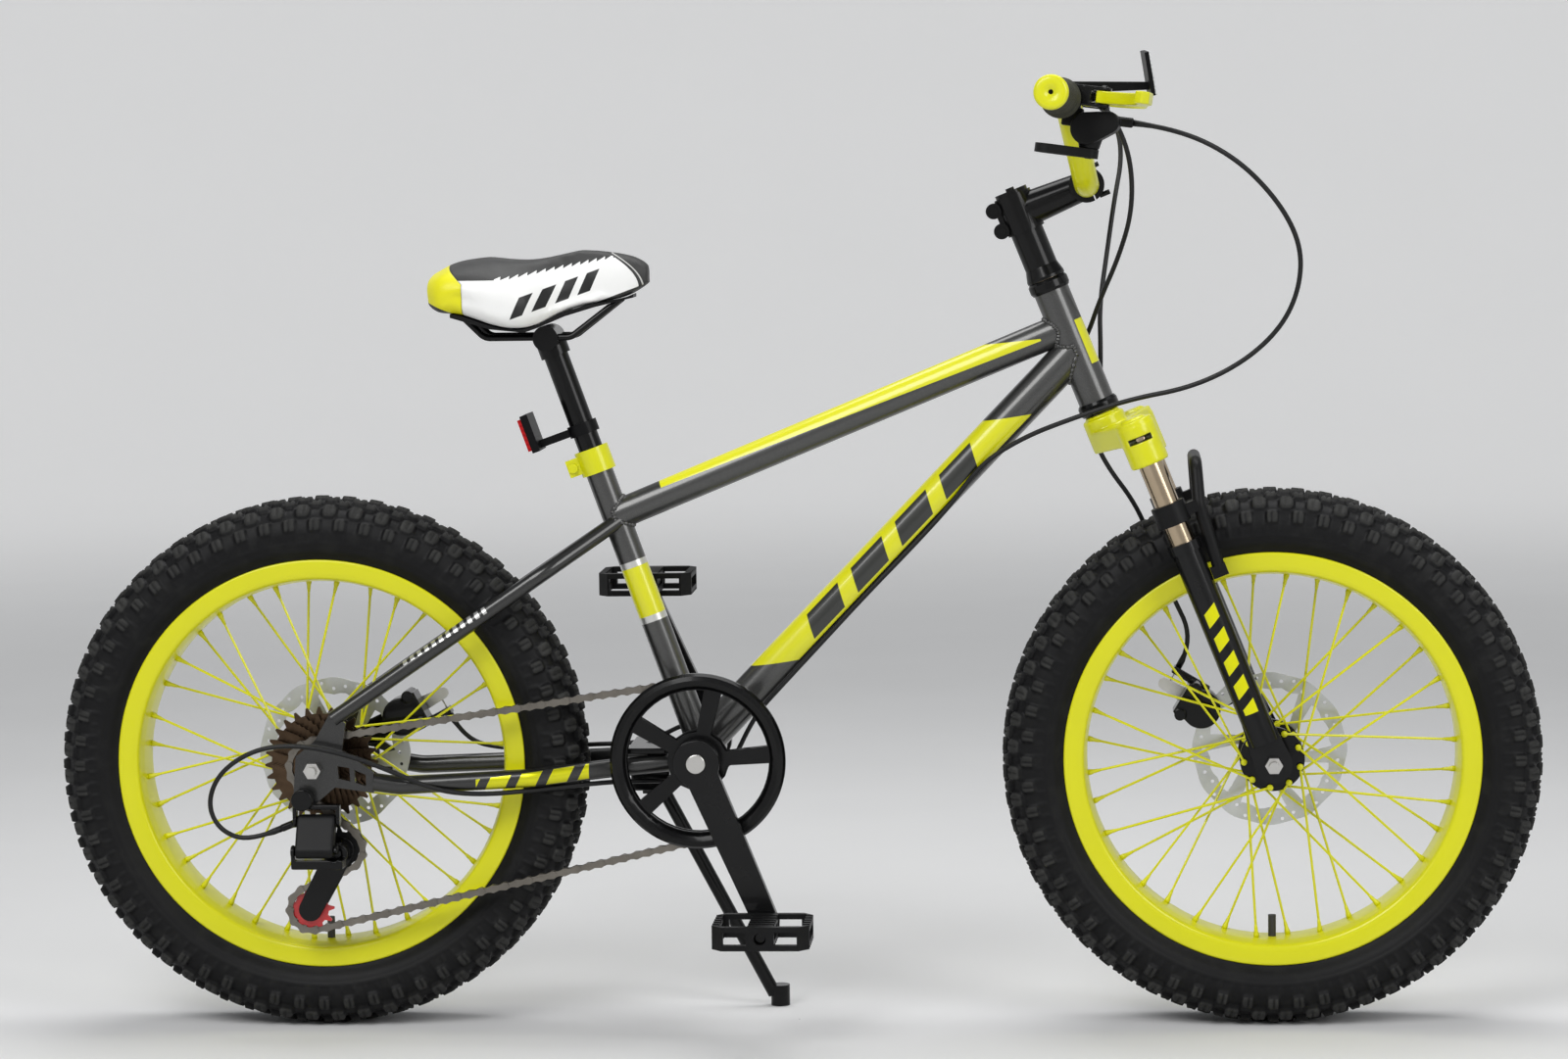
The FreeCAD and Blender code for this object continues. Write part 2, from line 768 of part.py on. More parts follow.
top_start = on_seat(s.top_tube_on_seat)
top_end = on_steer(0, 0, s.fork_length + s.top_tube_on_head)
down_end = on_steer(0, 0, s.fork_length + s.down_tube_on_head)
down_axis = (down_end - crank_centre).normalize()
down_start = crank_centre + Vector(-down_axis.z, 0, down_axis.x) * s.down_tube_lift
shell_place = CRANK * moved(0, 0, -s.shell_half_length)
head_place = STEER * moved(0, 0, s.fork_length)


def solid_core(kind, name):
    """Full rods of the main tubes, used to mitre the tubes that meet them."""
    if kind == "head":
        return rod(name, "sizes.head_tube_radius", "sizes.head_tube_length", head_place)
    if kind == "seat":
        return rod(name, "sizes.seat_tube_radius", "sizes.seat_tube_length", SEAT)
    if kind == "shell":
        return rod(name, "sizes.shell_radius", "2 * sizes.shell_half_length", shell_place)
    return between(name, "sizes.top_tube_radius", top_start, top_end)


def main_tube(name, radius, start, end, meets):
    hollow = between(name + "_bore", f"{radius} - sizes.tube_wall", start, end)
    cores = [solid_core(kind, f"{name}_at_{kind}") for kind in meets]
    return cut(name, between(name + "_body", radius, start, end), hollow, *cores)


head_tube = ring("head_tube", "sizes.head_tube_radius", "sizes.head_tube_bore", "sizes.head_tube_length",
                 head_place)
bottom_shell = ring("bottom_shell", "sizes.shell_radius", "sizes.shell_bore", "2 * sizes.shell_half_length",
                    shell_place)
seat_bore = rod("seat_tube_bore", "sizes.seatpost_radius + sizes.running_fit", "sizes.seat_tube_length + 2",
                SEAT)
seat_tube = cut("seat_tube", solid_core("seat", "seat_tube_body"), seat_bore,
                solid_core("shell", "seat_tube_at_shell"))
top_tube = main_tube("top_tube", "sizes.top_tube_radius", top_start, top_end, ("head", "seat"))
down_tube = main_tube("down_tube", "sizes.down_tube_radius", down_start, down_end,
                      ("head", "shell", "seat", "top"))
node("front_triangle", group("front_triangle_tubes", head_tube, bottom_shell, seat_tube, top_tube, down_tube))


# Rear triangle: bent chain stays and seat stays, dropout plates and bridges

drop_middle = s.rear_dropout + s.dropout_thickness / 2
stay_front = rear_axle + Vector(62, -drop_middle, -13)
stay_upper = rear_axle + Vector(21, -drop_middle, 52)
tire_clear = s.tire_half_width + 12
chain_stay_points = [
    crank_centre + Vector(-14, -38, -4),
    crank_centre + Vector(-95, -s.shell_half_length + 5, -11),
    Vector(rear_axle.x + s.tire_radius - 48, -tire_clear - s.chain_stay_radius + 3.5, rear_axle.z - 11),
    stay_front + Vector(26, 2, -4),
    stay_front,
]
seat_stay_points = [
    on_seat(s.top_tube_on_seat - 5) + Vector(2, -8, 0),
    rear_axle + Vector(s.tire_radius - 36, -tire_clear, s.tire_radius - 76),
    stay_upper,
]


def dropout(name):
    """Right dropout plate, with the slot for the axle and the lug that carries the derailleur."""
    lug_x = "sizes.hanger_x"
    lug_z = "-sizes.hanger_drop"

    def outline(sketch):
        closed_outline(sketch, [
            ("62", "-24"), ("62", "-2"), ("30", "20"), ("34", "48"), ("18", "58"), ("2", "30"), ("-18", "14"),
            ("-20", "-8"), (f"{lug_x} - 11", f"{lug_z} + 4"), (f"{lug_x} - 6", f"{lug_z} - 10"),
            (f"{lug_x} + 7", f"{lug_z} - 10"), ("22", "-18"),
        ])

    def slot(sketch):
        circle_outline(sketch, "sizes.axle_radius + sizes.running_fit")
        closed_outline(sketch, [("26", "-9"), ("25", "4"), ("37", "2"), ("38", "-12")])
        closed_outline(sketch, [("43", "-13"), ("42", "0"), ("54", "-5"), ("54", "-17")])

    return padded(name, outline, "sizes.dropout_thickness", REAR_WHEEL * moved(0, 0, s.rear_dropout), slot)


chain_stay = feature("chain_stay_bar", bent_tube(chain_stay_points, s.chain_stay_radius, s.stay_bend))
chain_stay_right = cut("chain_stay_right", chain_stay, solid_core("shell", "chain_stay_at_shell"))
seat_stay = feature("seat_stay_bar", bent_tube(seat_stay_points, s.seat_stay_radius, s.stay_bend))
seat_stay_right = cut("seat_stay_right", seat_stay, solid_core("seat", "seat_stay_at_seat"),
                      solid_core("top", "seat_stay_at_top"))
dropout_right = dropout("dropout_right")
bridge_mid = seat_stay_points[0] + (seat_stay_points[1] - seat_stay_points[0]) * 0.62
bridge_reach = abs(bridge_mid.y) - s.seat_stay_radius * 0.8
stay_bridge = rod("stay_bridge", "sizes.seat_stay_radius - 2", 2 * bridge_reach,
                  Placement(Vector(bridge_mid.x, bridge_reach, bridge_mid.z), TO_RIGHT))
stay_set = [chain_stay_right, seat_stay_right, dropout_right]
stay_set += [mirrored(item.Name + "_left", item) for item in tuple(stay_set)]
node("rear_triangle", group("rear_triangle_tubes", stay_bridge, *stay_set))


# Seat clamp: a slit collar with two ears and a bolt at the back

collar_low = s.seat_tube_length - s.collar_height + 2
collar_place = SEAT * moved(0, 0, collar_low)
ear_place = SEAT * moved(-s.collar_radius - 11, -9, collar_low + 4)
collar_body = union("collar_body", rod("collar_round", "sizes.collar_radius", "sizes.collar_height",
                                       collar_place),
                    block("collar_ears", 18, 18, "sizes.collar_height - 8", ear_place))
collar_bore = rod("collar_bore", "sizes.seat_tube_radius + sizes.running_fit", "sizes.collar_height + 2",
                  SEAT * moved(0, 0, collar_low - 1))
collar_slit = block("collar_slit", 26, "sizes.clamp_slit", "sizes.collar_height + 2",
                    SEAT * moved(-s.collar_radius - 12, -s.clamp_slit / 2, collar_low - 1))
bolt_place = SEAT * Placement(Vector(-s.collar_radius - 5, 13, collar_low + s.collar_height / 2), TO_RIGHT)
collar_bolt_hole = rod("collar_bolt_hole", 3, 26, bolt_place)
collar_bolt = union("collar_bolt", rod("collar_bolt_shank", "3 - sizes.running_fit", 26, bolt_place),
                    rod("collar_bolt_head", 5, 4, bolt_place),
                    rod("collar_bolt_nut", 5, 4, bolt_place * moved(0, 0, 22)))
node("seat_clamp", group("seat_clamp_set",
                         cut("collar", collar_body, collar_bore, collar_slit, collar_bolt_hole),
                         collar_bolt))


# Bearing cups: headset cups at both ends of the head tube, bottom bracket cups in the shell

def headset_cup(name, place):
    """A pressed cup: a collar outside the tube and a sleeve inside it."""
    bore = "sizes.steerer_radius + sizes.running_fit"
    return turned(name, [
        (bore, "0"), ("sizes.head_tube_bore - sizes.running_fit", "0"),
        ("sizes.head_tube_bore - sizes.running_fit", "12"),
        ("sizes.head_tube_radius + 1", "12"), ("sizes.cup_radius", "15"),
        ("sizes.cup_radius", "9 + sizes.cup_height"),
        ("sizes.cup_radius - 2", "12 + sizes.cup_height"), (bore, "12 + sizes.cup_height"),
    ], place)


def bottom_cup(name, place):
    bore = "sizes.spindle_radius + sizes.running_fit"
    return turned(name, [
        (bore, "0"), ("sizes.shell_bore - sizes.running_fit", "0"),
        ("sizes.shell_bore - sizes.running_fit", "18"),
        ("sizes.shell_radius", "18"), ("sizes.shell_radius - 1", "21.5"), (bore, "21.5"),
    ], place)


FLIP = Rotation(X_AXIS, 180)
node("bearing_cups", group(
    "bearing_cup_set",
    headset_cup("upper_cup", STEER * moved(0, 0, s.head_top - 12)),
    headset_cup("lower_cup", STEER * moved(0, 0, s.fork_length + 12, FLIP)),
    bottom_cup("right_cup", CRANK * moved(0, 0, s.shell_half_length - 18)),
    bottom_cup("left_cup", CRANK * moved(0, 0, 18 - s.shell_half_length, FLIP)),
))


# Fork: crown, steerer and stanchions, spring rods, lower legs and arch

LEG = STEER * moved(s.fork_offset, -s.leg_spread, 0)
crown_low = s.crown_top - s.crown_depth
crown_span = math.hypot(s.fork_offset, s.leg_spread)
crown_turn = math.degrees(math.atan2(-s.leg_spread, s.fork_offset))
crown_arms = [arm(f"crown_arm_{i}", s.crown_radius, s.socket_radius - 1, crown_span, s.crown_depth - 12,
                  STEER * moved(0, 0, crown_low, Rotation(Z_AXIS, side * crown_turn)))
              for i, side in enumerate((1, -1))]
sockets = []
socket_bores = []
for i, side in enumerate((1, -1)):
    place = STEER * moved(s.fork_offset, -side * s.leg_spread, s.socket_low)
    sockets.append(rod(f"socket_{i}", "sizes.socket_radius", "sizes.socket_top - sizes.socket_low", place))
    sockets.append(cone(f"socket_cap_{i}", "sizes.socket_radius", "sizes.socket_radius - 9", 9,
                        place * moved(0, 0, s.socket_top - s.socket_low)))
    socket_bores.append(rod(f"socket_bore_{i}", "sizes.stanchion_radius + sizes.running_fit",
                            "sizes.socket_top - sizes.socket_low", place * moved(0, 0, -4)))
    slot_y = -side * (s.leg_spread + s.socket_radius - 2) - 5
    socket_bores.append(block(f"socket_slot_{i}", 24, 10, 5,
                              STEER * moved(s.fork_offset - 12, slot_y, s.socket_top - 16)))
lobe = rod("crown_lobe", "sizes.crown_radius", "sizes.crown_depth", STEER * moved(0, 0, crown_low))
race = rod("crown_race", "sizes.crown_radius - 4", "sizes.race_height", STEER * moved(0, 0, s.crown_top))
steerer_bore = rod("crown_bore", "sizes.steerer_radius + sizes.running_fit", "sizes.crown_depth + 8",
                   STEER * moved(0, 0, crown_low + 1))
node("fork_crown", cut("crown", union("crown_body", lobe, race, *crown_arms, *sockets), steerer_bore,
                       *socket_bores))

stem_top = s.stem_low + s.stem_height
steerer = ring("steerer", "sizes.steerer_radius", "sizes.steerer_radius - sizes.steerer_wall",
               stem_top - crown_low - 2, STEER * moved(0, 0, crown_low + 1.5))
stanchion_top = s.socket_top - 4 - s.seat_gap
stanchion = ring("stanchion_right", "sizes.stanchion_radius", "sizes.stanchion_radius - sizes.stanchion_wall",
                 f"{stanchion_top} - sizes.stanchion_low", LEG * moved(0, 0, s.stanchion_low))
node("fork_upper_tubes", group("fork_upper_set", steerer, stanchion, mirrored("stanchion_left", stanchion)))

elastomer = rod("elastomer_right", "sizes.elastomer_radius",
                f"{stanchion_top} - sizes.plunger_top - 2 * sizes.seat_gap",
                LEG * moved(0, 0, s.plunger_top + s.seat_gap))
node("fork_elastomers", group("fork_elastomer_set", elastomer, mirrored("elastomer_left", elastomer)))

leg_tube = union("leg_tube", rod("leg_outer", "sizes.leg_radius", "sizes.leg_top - sizes.leg_low",
                                 LEG * moved(0, 0, s.leg_low)),
                 rod("leg_lip", "sizes.leg_radius + 2", 10, LEG * moved(0, 0, s.leg_top - 10)),
                 arm("leg_tip", s.boss_radius, s.leg_radius, s.leg_low + 22, s.dropout_thickness,
                     STEER * moved(s.fork_offset, -s.front_dropout, 0,
                                   Rotation(Z_AXIS, -X_AXIS, -Y_AXIS, "XYZ"))))
leg_bore = rod("leg_bore", "sizes.stanchion_radius + sizes.running_fit",
               "sizes.leg_top - sizes.leg_floor + 1",
               LEG * moved(0, 0, s.leg_floor))
leg_axle_hole = rod("leg_axle_hole", "sizes.axle_radius + sizes.running_fit", 60,
                    FRONT_WHEEL * moved(0, 0, s.front_dropout - 20))
leg_right = cut("leg_right", leg_tube, leg_bore, leg_axle_hole)
plunger = rod("plunger_right", "sizes.plunger_radius", "sizes.plunger_top - sizes.leg_floor",
              LEG * moved(0, 0, s.leg_floor))
node("fork_legs", group("fork_leg_set", leg_right, mirrored("leg_left", leg_right), plunger,
                        mirrored("plunger_left", plunger)))

arch_foot = s.fork_offset + s.leg_radius + 2 + s.arch_radius + s.seat_gap
arch_points = [
    (arch_foot, -s.leg_spread, s.ring_low - 60),
    (arch_foot + 6, -s.leg_spread, s.ring_low + 10),
    (s.fork_offset + s.arch_reach, -s.leg_spread + 16, s.arch_top),
]
arch_points += [(x, -y, z) for x, y, z in reversed(arch_points)]
arch_bar = feature("arch_bar", bent_tube([on_steer(*point) for point in arch_points], s.arch_radius, 18))
arch_rings = []
arch_bores = []
for i, side in enumerate((1, -1)):
    place = STEER * moved(s.fork_offset, -side * s.leg_spread, s.ring_low)
    arch_rings.append(rod(f"arch_ring_{i}", "sizes.ring_radius", "sizes.ring_height", place))
    arch_rings.append(block(f"arch_arm_{i}", arch_foot - s.fork_offset + 4, 12, 12, place * moved(0, -6, 4)))
    arch_bores.append(rod(f"arch_bore_{i}", "sizes.stanchion_radius + sizes.seat_gap",
                          "sizes.ring_height + 2",
                          place * moved(0, 0, -1)))
    foot_block = block(f"arch_foot_{i}", 2 * s.arch_radius + 3, 12, 12,
                       place * moved(s.leg_radius + s.seat_gap, -6, -66))
    arch_rings.append(foot_block)
node("fork_arch", cut("arch", union("arch_body", arch_bar, *arch_rings), *arch_bores))


# Cockpit: spacers, stem, handlebar and grips

steerer_fit = "sizes.steerer_radius + sizes.running_fit"
spacer_set = [turned("bearing_cover", [
    (steerer_fit, "0"), ("sizes.cup_radius - 1", "0"), ("sizes.cup_radius - 1", "3"),
    ("sizes.spacer_radius", "sizes.cover_height"), (steerer_fit, "sizes.cover_height"),
], STEER * moved(0, 0, s.cover_low))]
for i in range(int(s.spacer_count)):
    spacer_set.append(ring(f"spacer_{i}", "sizes.spacer_radius", steerer_fit, "sizes.spacer_height",
                           STEER * moved(0, 0, s.spacer_low + i * s.spacer_height)))
top_cap = union("top_cap", rod("cap_plate", "sizes.spacer_radius", 4, STEER * moved(0, 0, stem_top)),
                rod("cap_bolt", 4.5, 3, STEER * moved(0, 0, stem_top + 4)))
node("headset_spacers", group("headset_spacer_set", top_cap, *spacer_set))

bar_height = s.stem_low + s.stem_height / 2
BAR = STEER * moved(s.stem_reach, 0, bar_height)
pinch_places = [STEER * moved(-s.stem_radius - 4, 11, s.stem_low + height, TO_RIGHT)
                for height in (9, s.stem_height - 9)]
stem_body = union(
    "stem_body",
    rod("stem_clamp", "sizes.stem_radius", "sizes.stem_height", STEER * moved(0, 0, s.stem_low)),
    cone("stem_neck", "sizes.stem_radius - 1", "sizes.bar_clamp_radius - 3.5", "sizes.stem_reach",
         STEER * moved(0, 0, bar_height, TO_FRONT)),
    rod("stem_bar_clamp", "sizes.bar_clamp_radius", "sizes.bar_clamp_width",
        BAR * moved(0, s.bar_clamp_width / 2, 0, TO_RIGHT)),
    block("stem_ears", 10, 18, "sizes.stem_height - 4",
          STEER * moved(-s.stem_radius - 3, -9, s.stem_low + 2)),
    *(rod(f"stem_lug_{i}", 8, 22, place) for i, place in enumerate(pinch_places)),
)
stem_cuts = [
    rod("stem_bore", steerer_fit, "sizes.stem_height + 2", STEER * moved(0, 0, s.stem_low - 1)),
    rod("stem_bar_bore", "sizes.bar_radius + sizes.running_fit", "sizes.bar_clamp_width + 2",
        BAR * moved(0, s.bar_clamp_width / 2 + 1, 0, TO_RIGHT)),
    block("stem_slit", 30, "sizes.clamp_slit", "sizes.stem_height + 2",
          STEER * moved(-s.stem_radius - 12, -s.clamp_slit / 2, s.stem_low - 1)),
    block("faceplate_gap", 1.5, "sizes.bar_clamp_width + 2", "2 * sizes.bar_clamp_radius + 2",
          BAR * moved(2, -s.bar_clamp_width / 2 - 1, -s.bar_clamp_radius - 1)),
]
stem_bolts = []
for i, place in enumerate(pinch_places):
    stem_bolts.append(rod(f"pinch_head_{i}", 4.5, 3, place * moved(0, 0, -3)))
    stem_bolts.append(rod(f"pinch_nut_{i}", 4.5, 3, place * moved(0, 0, 22)))
for i, (side, height) in enumerate(((1, 1), (1, -1), (-1, 1), (-1, -1))):
    place = BAR * moved(8, side * 16, height * (s.bar_radius + 2.6), TO_FRONT)
    stem_bolts.append(rod(f"faceplate_bolt_{i}", 2.4, 11, place))
node("stem", group("stem_set", cut("stem_shell", stem_body, *stem_cuts, *stem_bolts), *stem_bolts))

bar_side = [
    (0, s.bar_flat, 0),
    (s.bar_forward, s.bar_bend_span, s.bar_rise),
    (s.bar_forward - s.bar_sweep, s.bar_half_width, s.bar_rise + s.bar_upsweep),
]
bar_points = [BAR.multVec(Vector(x, -y, z)) for x, y, z in reversed(bar_side)]
bar_points += [BAR.multVec(Vector(*point)) for point in bar_side]
node("handlebar", feature("handlebar_tube",
                          bent_tube(bar_points, s.bar_radius, s.bar_bend, s.bar_radius - s.bar_wall)))

# Hand frame on the right: x ahead, y up, z outward along the straight end of the bar
hand_out = (bar_points[0] - bar_points[1]).normalize()
tilt = math.radians(s.hand_tilt)
hand_up = hand_out.cross(Vector(math.cos(tilt), 0, -math.sin(tilt))).normalize()
hand_ahead = hand_up.cross(hand_out)
hand_turn = Rotation(hand_ahead, hand_up, hand_out, "XYZ")
hand_length = (bar_points[0] - bar_points[1]).Length
HAND = Placement(bar_points[1], hand_turn)
bar_fit = "sizes.bar_radius + sizes.running_fit"
grip_start = hand_length - s.grip_length
grip_end = f"{s.grip_length} + sizes.grip_cap"
grip = turned("grip_right", [
    (bar_fit, "0"), ("sizes.grip_flange", "0"), ("sizes.grip_flange", "4"), ("sizes.grip_radius - 1", "6"),
    ("sizes.grip_radius", f"{s.grip_length} - 12"), ("sizes.grip_radius", f"{grip_end} - 2"),
    ("sizes.grip_radius - 3", grip_end), ("0", grip_end), ("0", f"{s.grip_length} + 0.3"),
    (bar_fit, f"{s.grip_length} + 0.3"),
], HAND * moved(0, 0, grip_start))
node("handlebar_grips", group("grip_set", grip, mirrored("grip_left", grip)))


# Brake levers: clamp bracket with a forked nose, and a blade on a pin

LEVER = HAND * moved(0, 0, s.lever_place)
nose_half = s.lever_thickness / 2 + 4
barrel_length = 14
barrel_x = s.lever_reach - 12
bracket = union(
    "lever_bracket_body",
    rod("lever_clamp", "sizes.lever_clamp_radius", "sizes.lever_clamp_width", LEVER),
    block("lever_nose", s.lever_reach - 3, 2 * nose_half, "sizes.lever_clamp_width",
          LEVER * moved(10, s.lever_lift - nose_half, 0)),
    rod("lever_barrel", 5, barrel_length, LEVER * moved(barrel_x, s.lever_lift, 0, FLIP)),
)
slot_place = LEVER * moved(s.lever_reach - 12, s.lever_lift - s.lever_thickness / 2 - s.seat_gap, -1)
pin_place = LEVER * moved(s.lever_reach, s.lever_lift + nose_half + 2, s.lever_clamp_width / 2, TO_RIGHT)
bracket_right = cut(
    "lever_bracket_right", bracket,
    rod("lever_bar_bore", bar_fit, "sizes.lever_clamp_width + 2", LEVER * moved(0, 0, -1)),
    block("lever_slot", 40, "sizes.lever_thickness + 2 * sizes.seat_gap", "sizes.lever_clamp_width + 2",
          slot_place),
)
lever_pin = rod("lever_pin_right", "sizes.lever_pin_radius", 2 * nose_half + 4, pin_place)
bracket_pin = union("lever_bracket_pinned", bracket_right, lever_pin)
node("brake_lever_brackets", group("lever_bracket_set", bracket_pin,
                                   mirrored("lever_bracket_left", bracket_pin)))
right_barrel = LEVER.multVec(Vector(barrel_x, s.lever_lift, -barrel_length - 0.2))

# Blade outline in the (ahead, outward) plane, measured from the pin
blade_shape = [
    (-8, -0.06), (6, -0.08), (16, -0.02), (34, 0.2), (48, 0.48), (54, 0.77), (52, 0.95), (45, 1),
    (38, 0.95), (40, 0.77), (35, 0.52), (22, 0.29), (4, 0.1), (-7, 0.06),
]


def blade_outline(sketch):
    closed_outline(sketch, [(str(ahead), f"{out} * sizes.blade_length") for ahead, out in blade_shape])


BLADE = LEVER * moved(s.lever_reach, s.lever_lift + s.lever_thickness / 2, s.lever_clamp_width / 2, TO_RIGHT)
blade = padded("blade_right", blade_outline, "sizes.lever_thickness", BLADE,
               lambda sketch: circle_outline(sketch, "sizes.lever_pin_radius + sizes.running_fit"))
node("brake_lever_right", blade)
node("brake_lever_left", mirrored("blade_left", blade))


# Gear shifter: clamp with a pod under the bar, and a thumb lever on a pin below it

POD = HAND * moved(0, 0, s.shifter_place)
pod_floor = -40
pod_nose = 58
pod = cut(
    "shifter_bored",
    union("shifter_body", rod("shifter_clamp", "sizes.lever_clamp_radius", "sizes.lever_clamp_width", POD),
          arm("shifter_pod", 16, 11, 22, 28, POD * moved(26, pod_floor + 15, -6, Rotation(Z_AXIS, 22))),
          block("shifter_neck", 20, 18, "sizes.lever_clamp_width", POD * moved(0, -24, 0)),
          cone("shifter_dial", 13, 10, 14, POD * moved(30, pod_floor + 10, 8, TO_RIGHT)),
          rod("shifter_barrel", 5, 22, POD * moved(pod_nose - 10, -14, 8, TO_FRONT))),
    rod("shifter_bore", bar_fit, 60, POD * moved(0, 0, -20)),
)
thumb_pin = POD * moved(30, pod_floor - 3, 8, TO_RIGHT)
node("gear_shifter", union("shifter_set", pod, rod("thumb_pin", 4, 11, thumb_pin)))
thumb = arm("thumb_paddle", 10, 13, 40, 9, thumb_pin * moved(0, 0, 1 + s.seat_gap, Rotation(Z_AXIS, 172)),
            [(0, 4 + s.running_fit)])
node("shift_lever", thumb)
shift_barrel = POD.multVec(Vector(pod_nose + 12.1, -14, 8))


# Front reflector on a clip bracket, on the left half of the bar

CLIP = HAND * moved(0, 0, s.shifter_place, Rotation(Z_AXIS, s.hand_tilt))
lens_x = 86
clip_arm = arm("clip_arm", 6, 4, lens_x - 2, 12, CLIP * moved(2, s.bar_radius + 3, 0))
clip_ring = rod("clip_ring", "sizes.bar_radius + 4", 12, CLIP)
lens_plate = block("front_lens_plate", 6, 46, 54, CLIP * moved(lens_x, 6, -21, Rotation(Z_AXIS, 9)))
clip_right = cut("clip_right", union("clip_body", clip_arm, clip_ring, lens_plate),
                 rod("clip_bore", bar_fit, 14, CLIP * moved(0, 0, -1)))
node("front_reflector", mirrored("front_reflector_left", clip_right))


# Saddle: post, rails with clamp, moulded shell and padded cover

post = ring("post_tube", "sizes.seatpost_radius", "sizes.seatpost_radius - sizes.seatpost_wall",
            "sizes.seatpost_top - sizes.seatpost_low", SEAT * moved(0, 0, s.seatpost_low))
node("seatpost", post)

# Stations along the saddle: share of the length, half width share, underside rise, top rise
saddle_stations = [
    (0.0, 0.62, 26, 56), (0.12, 0.9, 16, 66), (0.3, 1.0, 4, 64), (0.45, 0.92, 0, 61), (0.6, 0.56, 14, 66),
    (0.75, 0.36, 24, 73), (0.92, 0.27, 33, 74), (1.0, 0.2, 44, 66),
]


def saddle_x(share):
    return s.saddle_tail_x + share * s.saddle_length


def cover_section(share, width, under, top):
    """One upright section of the cover: flat underside, drawn-in sides and a crowned top, in arcs."""
    x = saddle_x(share)
    half = width * s.saddle_half_width
    low = s.saddle_low_z + under
    high = s.saddle_low_z + top * s.saddle_height / 68
    middle = low + 0.55 * (high - low)
    shoulder = high - 0.12 * (high - low)
    foot_left = Vector(x, 0.86 * half, low)
    foot_right = Vector(x, -0.86 * half, low)
    left = Vector(x, 0.74 * half, shoulder)
    right = Vector(x, -0.74 * half, shoulder)
    edges = [
        Part.LineSegment(foot_left, foot_right), Part.Arc(foot_right, Vector(x, -half, middle), right),
        Part.Arc(right, Vector(x, 0, high), left), Part.Arc(left, Vector(x, half, middle), foot_left),
    ]
    return Part.Wire([edge.toShape() for edge in edges])


def shell_section(share, width, under, top):
    x = saddle_x(share)
    half = 0.8 * width * s.saddle_half_width
    high = s.saddle_low_z + under + 8
    low = s.saddle_low_z + under - s.saddle_shell_thickness
    corners = [Vector(x, half, high), Vector(x, -half, high), Vector(x, -half, low), Vector(x, half, low)]
    return Part.makePolygon(corners + corners[:1])


def lowered(shape):
    copy = shape.copy()
    copy.translate(Vector(0, 0, -s.seat_gap))
    return copy


cover_shape = Part.makeLoft([cover_section(*row) for row in saddle_stations], True)
shell_slab = Part.makeLoft([shell_section(*row) for row in saddle_stations[1:-1]], True, True)
shell_shape = shell_slab.cut(lowered(cover_shape))
node("saddle_cover", feature("cover_loft", cover_shape))
node("saddle_shell", feature("shell_loft", shell_shape))

clamp_centre = on_seat(s.clamp_place)
rail_z = clamp_centre.z


def shell_floor(x):
    """Underside height of the shell at a place along the saddle."""
    share = (x - s.saddle_tail_x) / s.saddle_length
    for low, high in zip(saddle_stations, saddle_stations[1:]):
        if low[0] <= share <= high[0]:
            part_way = (share - low[0]) / (high[0] - low[0])
            under = low[2] + part_way * (high[2] - low[2])
            return s.saddle_low_z + under - s.saddle_shell_thickness
    return s.saddle_low_z


rail_rear = saddle_x(0.16)
rail_front = saddle_x(0.86)
rail_points = [
    Vector(rail_rear, -s.rail_spread, shell_floor(rail_rear) + 2),
    Vector(rail_rear + 22, -s.rail_spread, rail_z),
    Vector(rail_front - 50, -s.rail_spread, rail_z),
    Vector(rail_front, -s.rail_spread / 2, shell_floor(rail_front) + 2),
]
rail = feature("rail_right", bent_tube(rail_points, s.rail_radius, 14).cut(lowered(shell_slab)))
rail_left = mirrored("rail_left", rail)
clamp_half = s.rail_spread + 9
clamp_lug = rod("clamp_lug", 13, 2 * clamp_half,
                Placement(Vector(clamp_centre.x, clamp_half, clamp_centre.z - 1), TO_RIGHT))
clamp_socket = rod("clamp_socket", "sizes.seatpost_radius + 3", 16, SEAT * moved(0, 0, s.seatpost_top - 12))
post_space = rod("post_space", "sizes.seatpost_radius + sizes.running_fit", 100,
                 SEAT * moved(0, 0, s.seatpost_top - 100))
clamp_body = cut("clamp_body", union("clamp_union", clamp_lug, clamp_socket), post_space, rail, rail_left)
node("saddle_rails", group("saddle_rail_set", rail, rail_left, clamp_body))


# Rear reflector: a band round the post, an arm to the back, a housing with its lens

BAND = SEAT * moved(0, 0, s.seat_tube_length + 18)
post_fit = "sizes.seatpost_radius + sizes.running_fit"
band = ring("band", "sizes.seatpost_radius + 3", post_fit, 12, BAND)
band_arm = block("band_arm", 36, 10, 8, BAND * moved(-s.seatpost_radius - 36, -5, 2))
housing = block("rear_housing", 8, 50, 40, BAND * moved(-s.seatpost_radius - 42, -25, 0))
lens = block("rear_lens", 4, 44, 34, BAND * moved(-s.seatpost_radius - 46, -22, 3))
reflector = cut("rear_reflector_body", union("rear_reflector_arm", band, band_arm, housing),
                rod("band_bore", post_fit, 14, BAND * moved(0, 0, -1)))
node("rear_reflector", group("rear_reflector_set", reflector, lens))


# Drive: chain path round chainring, sprocket and pulleys

def pitch_radius(teeth):
    return s.chain_pitch / (2 * math.sin(math.pi / teeth))


SPROCKET_TEETH = (28, 24, 22, 20, 18, 16, 14)
guide_centre = rear_axle + Vector(s.guide_x, 0, -s.guide_drop)
tension_centre = rear_axle + Vector(s.tension_x, 0, -s.tension_drop)
# (centre, pitch radius, turn) in the order the chain runs when the bike is pedalled forward
chain_stops = [
    (rear_axle, pitch_radius(SPROCKET_TEETH[-1]), -1), (crank_centre, pitch_radius(s.chainring_teeth), -1),
    (tension_centre, pitch_radius(s.pulley_teeth), -1), (guide_centre, pitch_radius(s.pulley_teeth), 1),
]


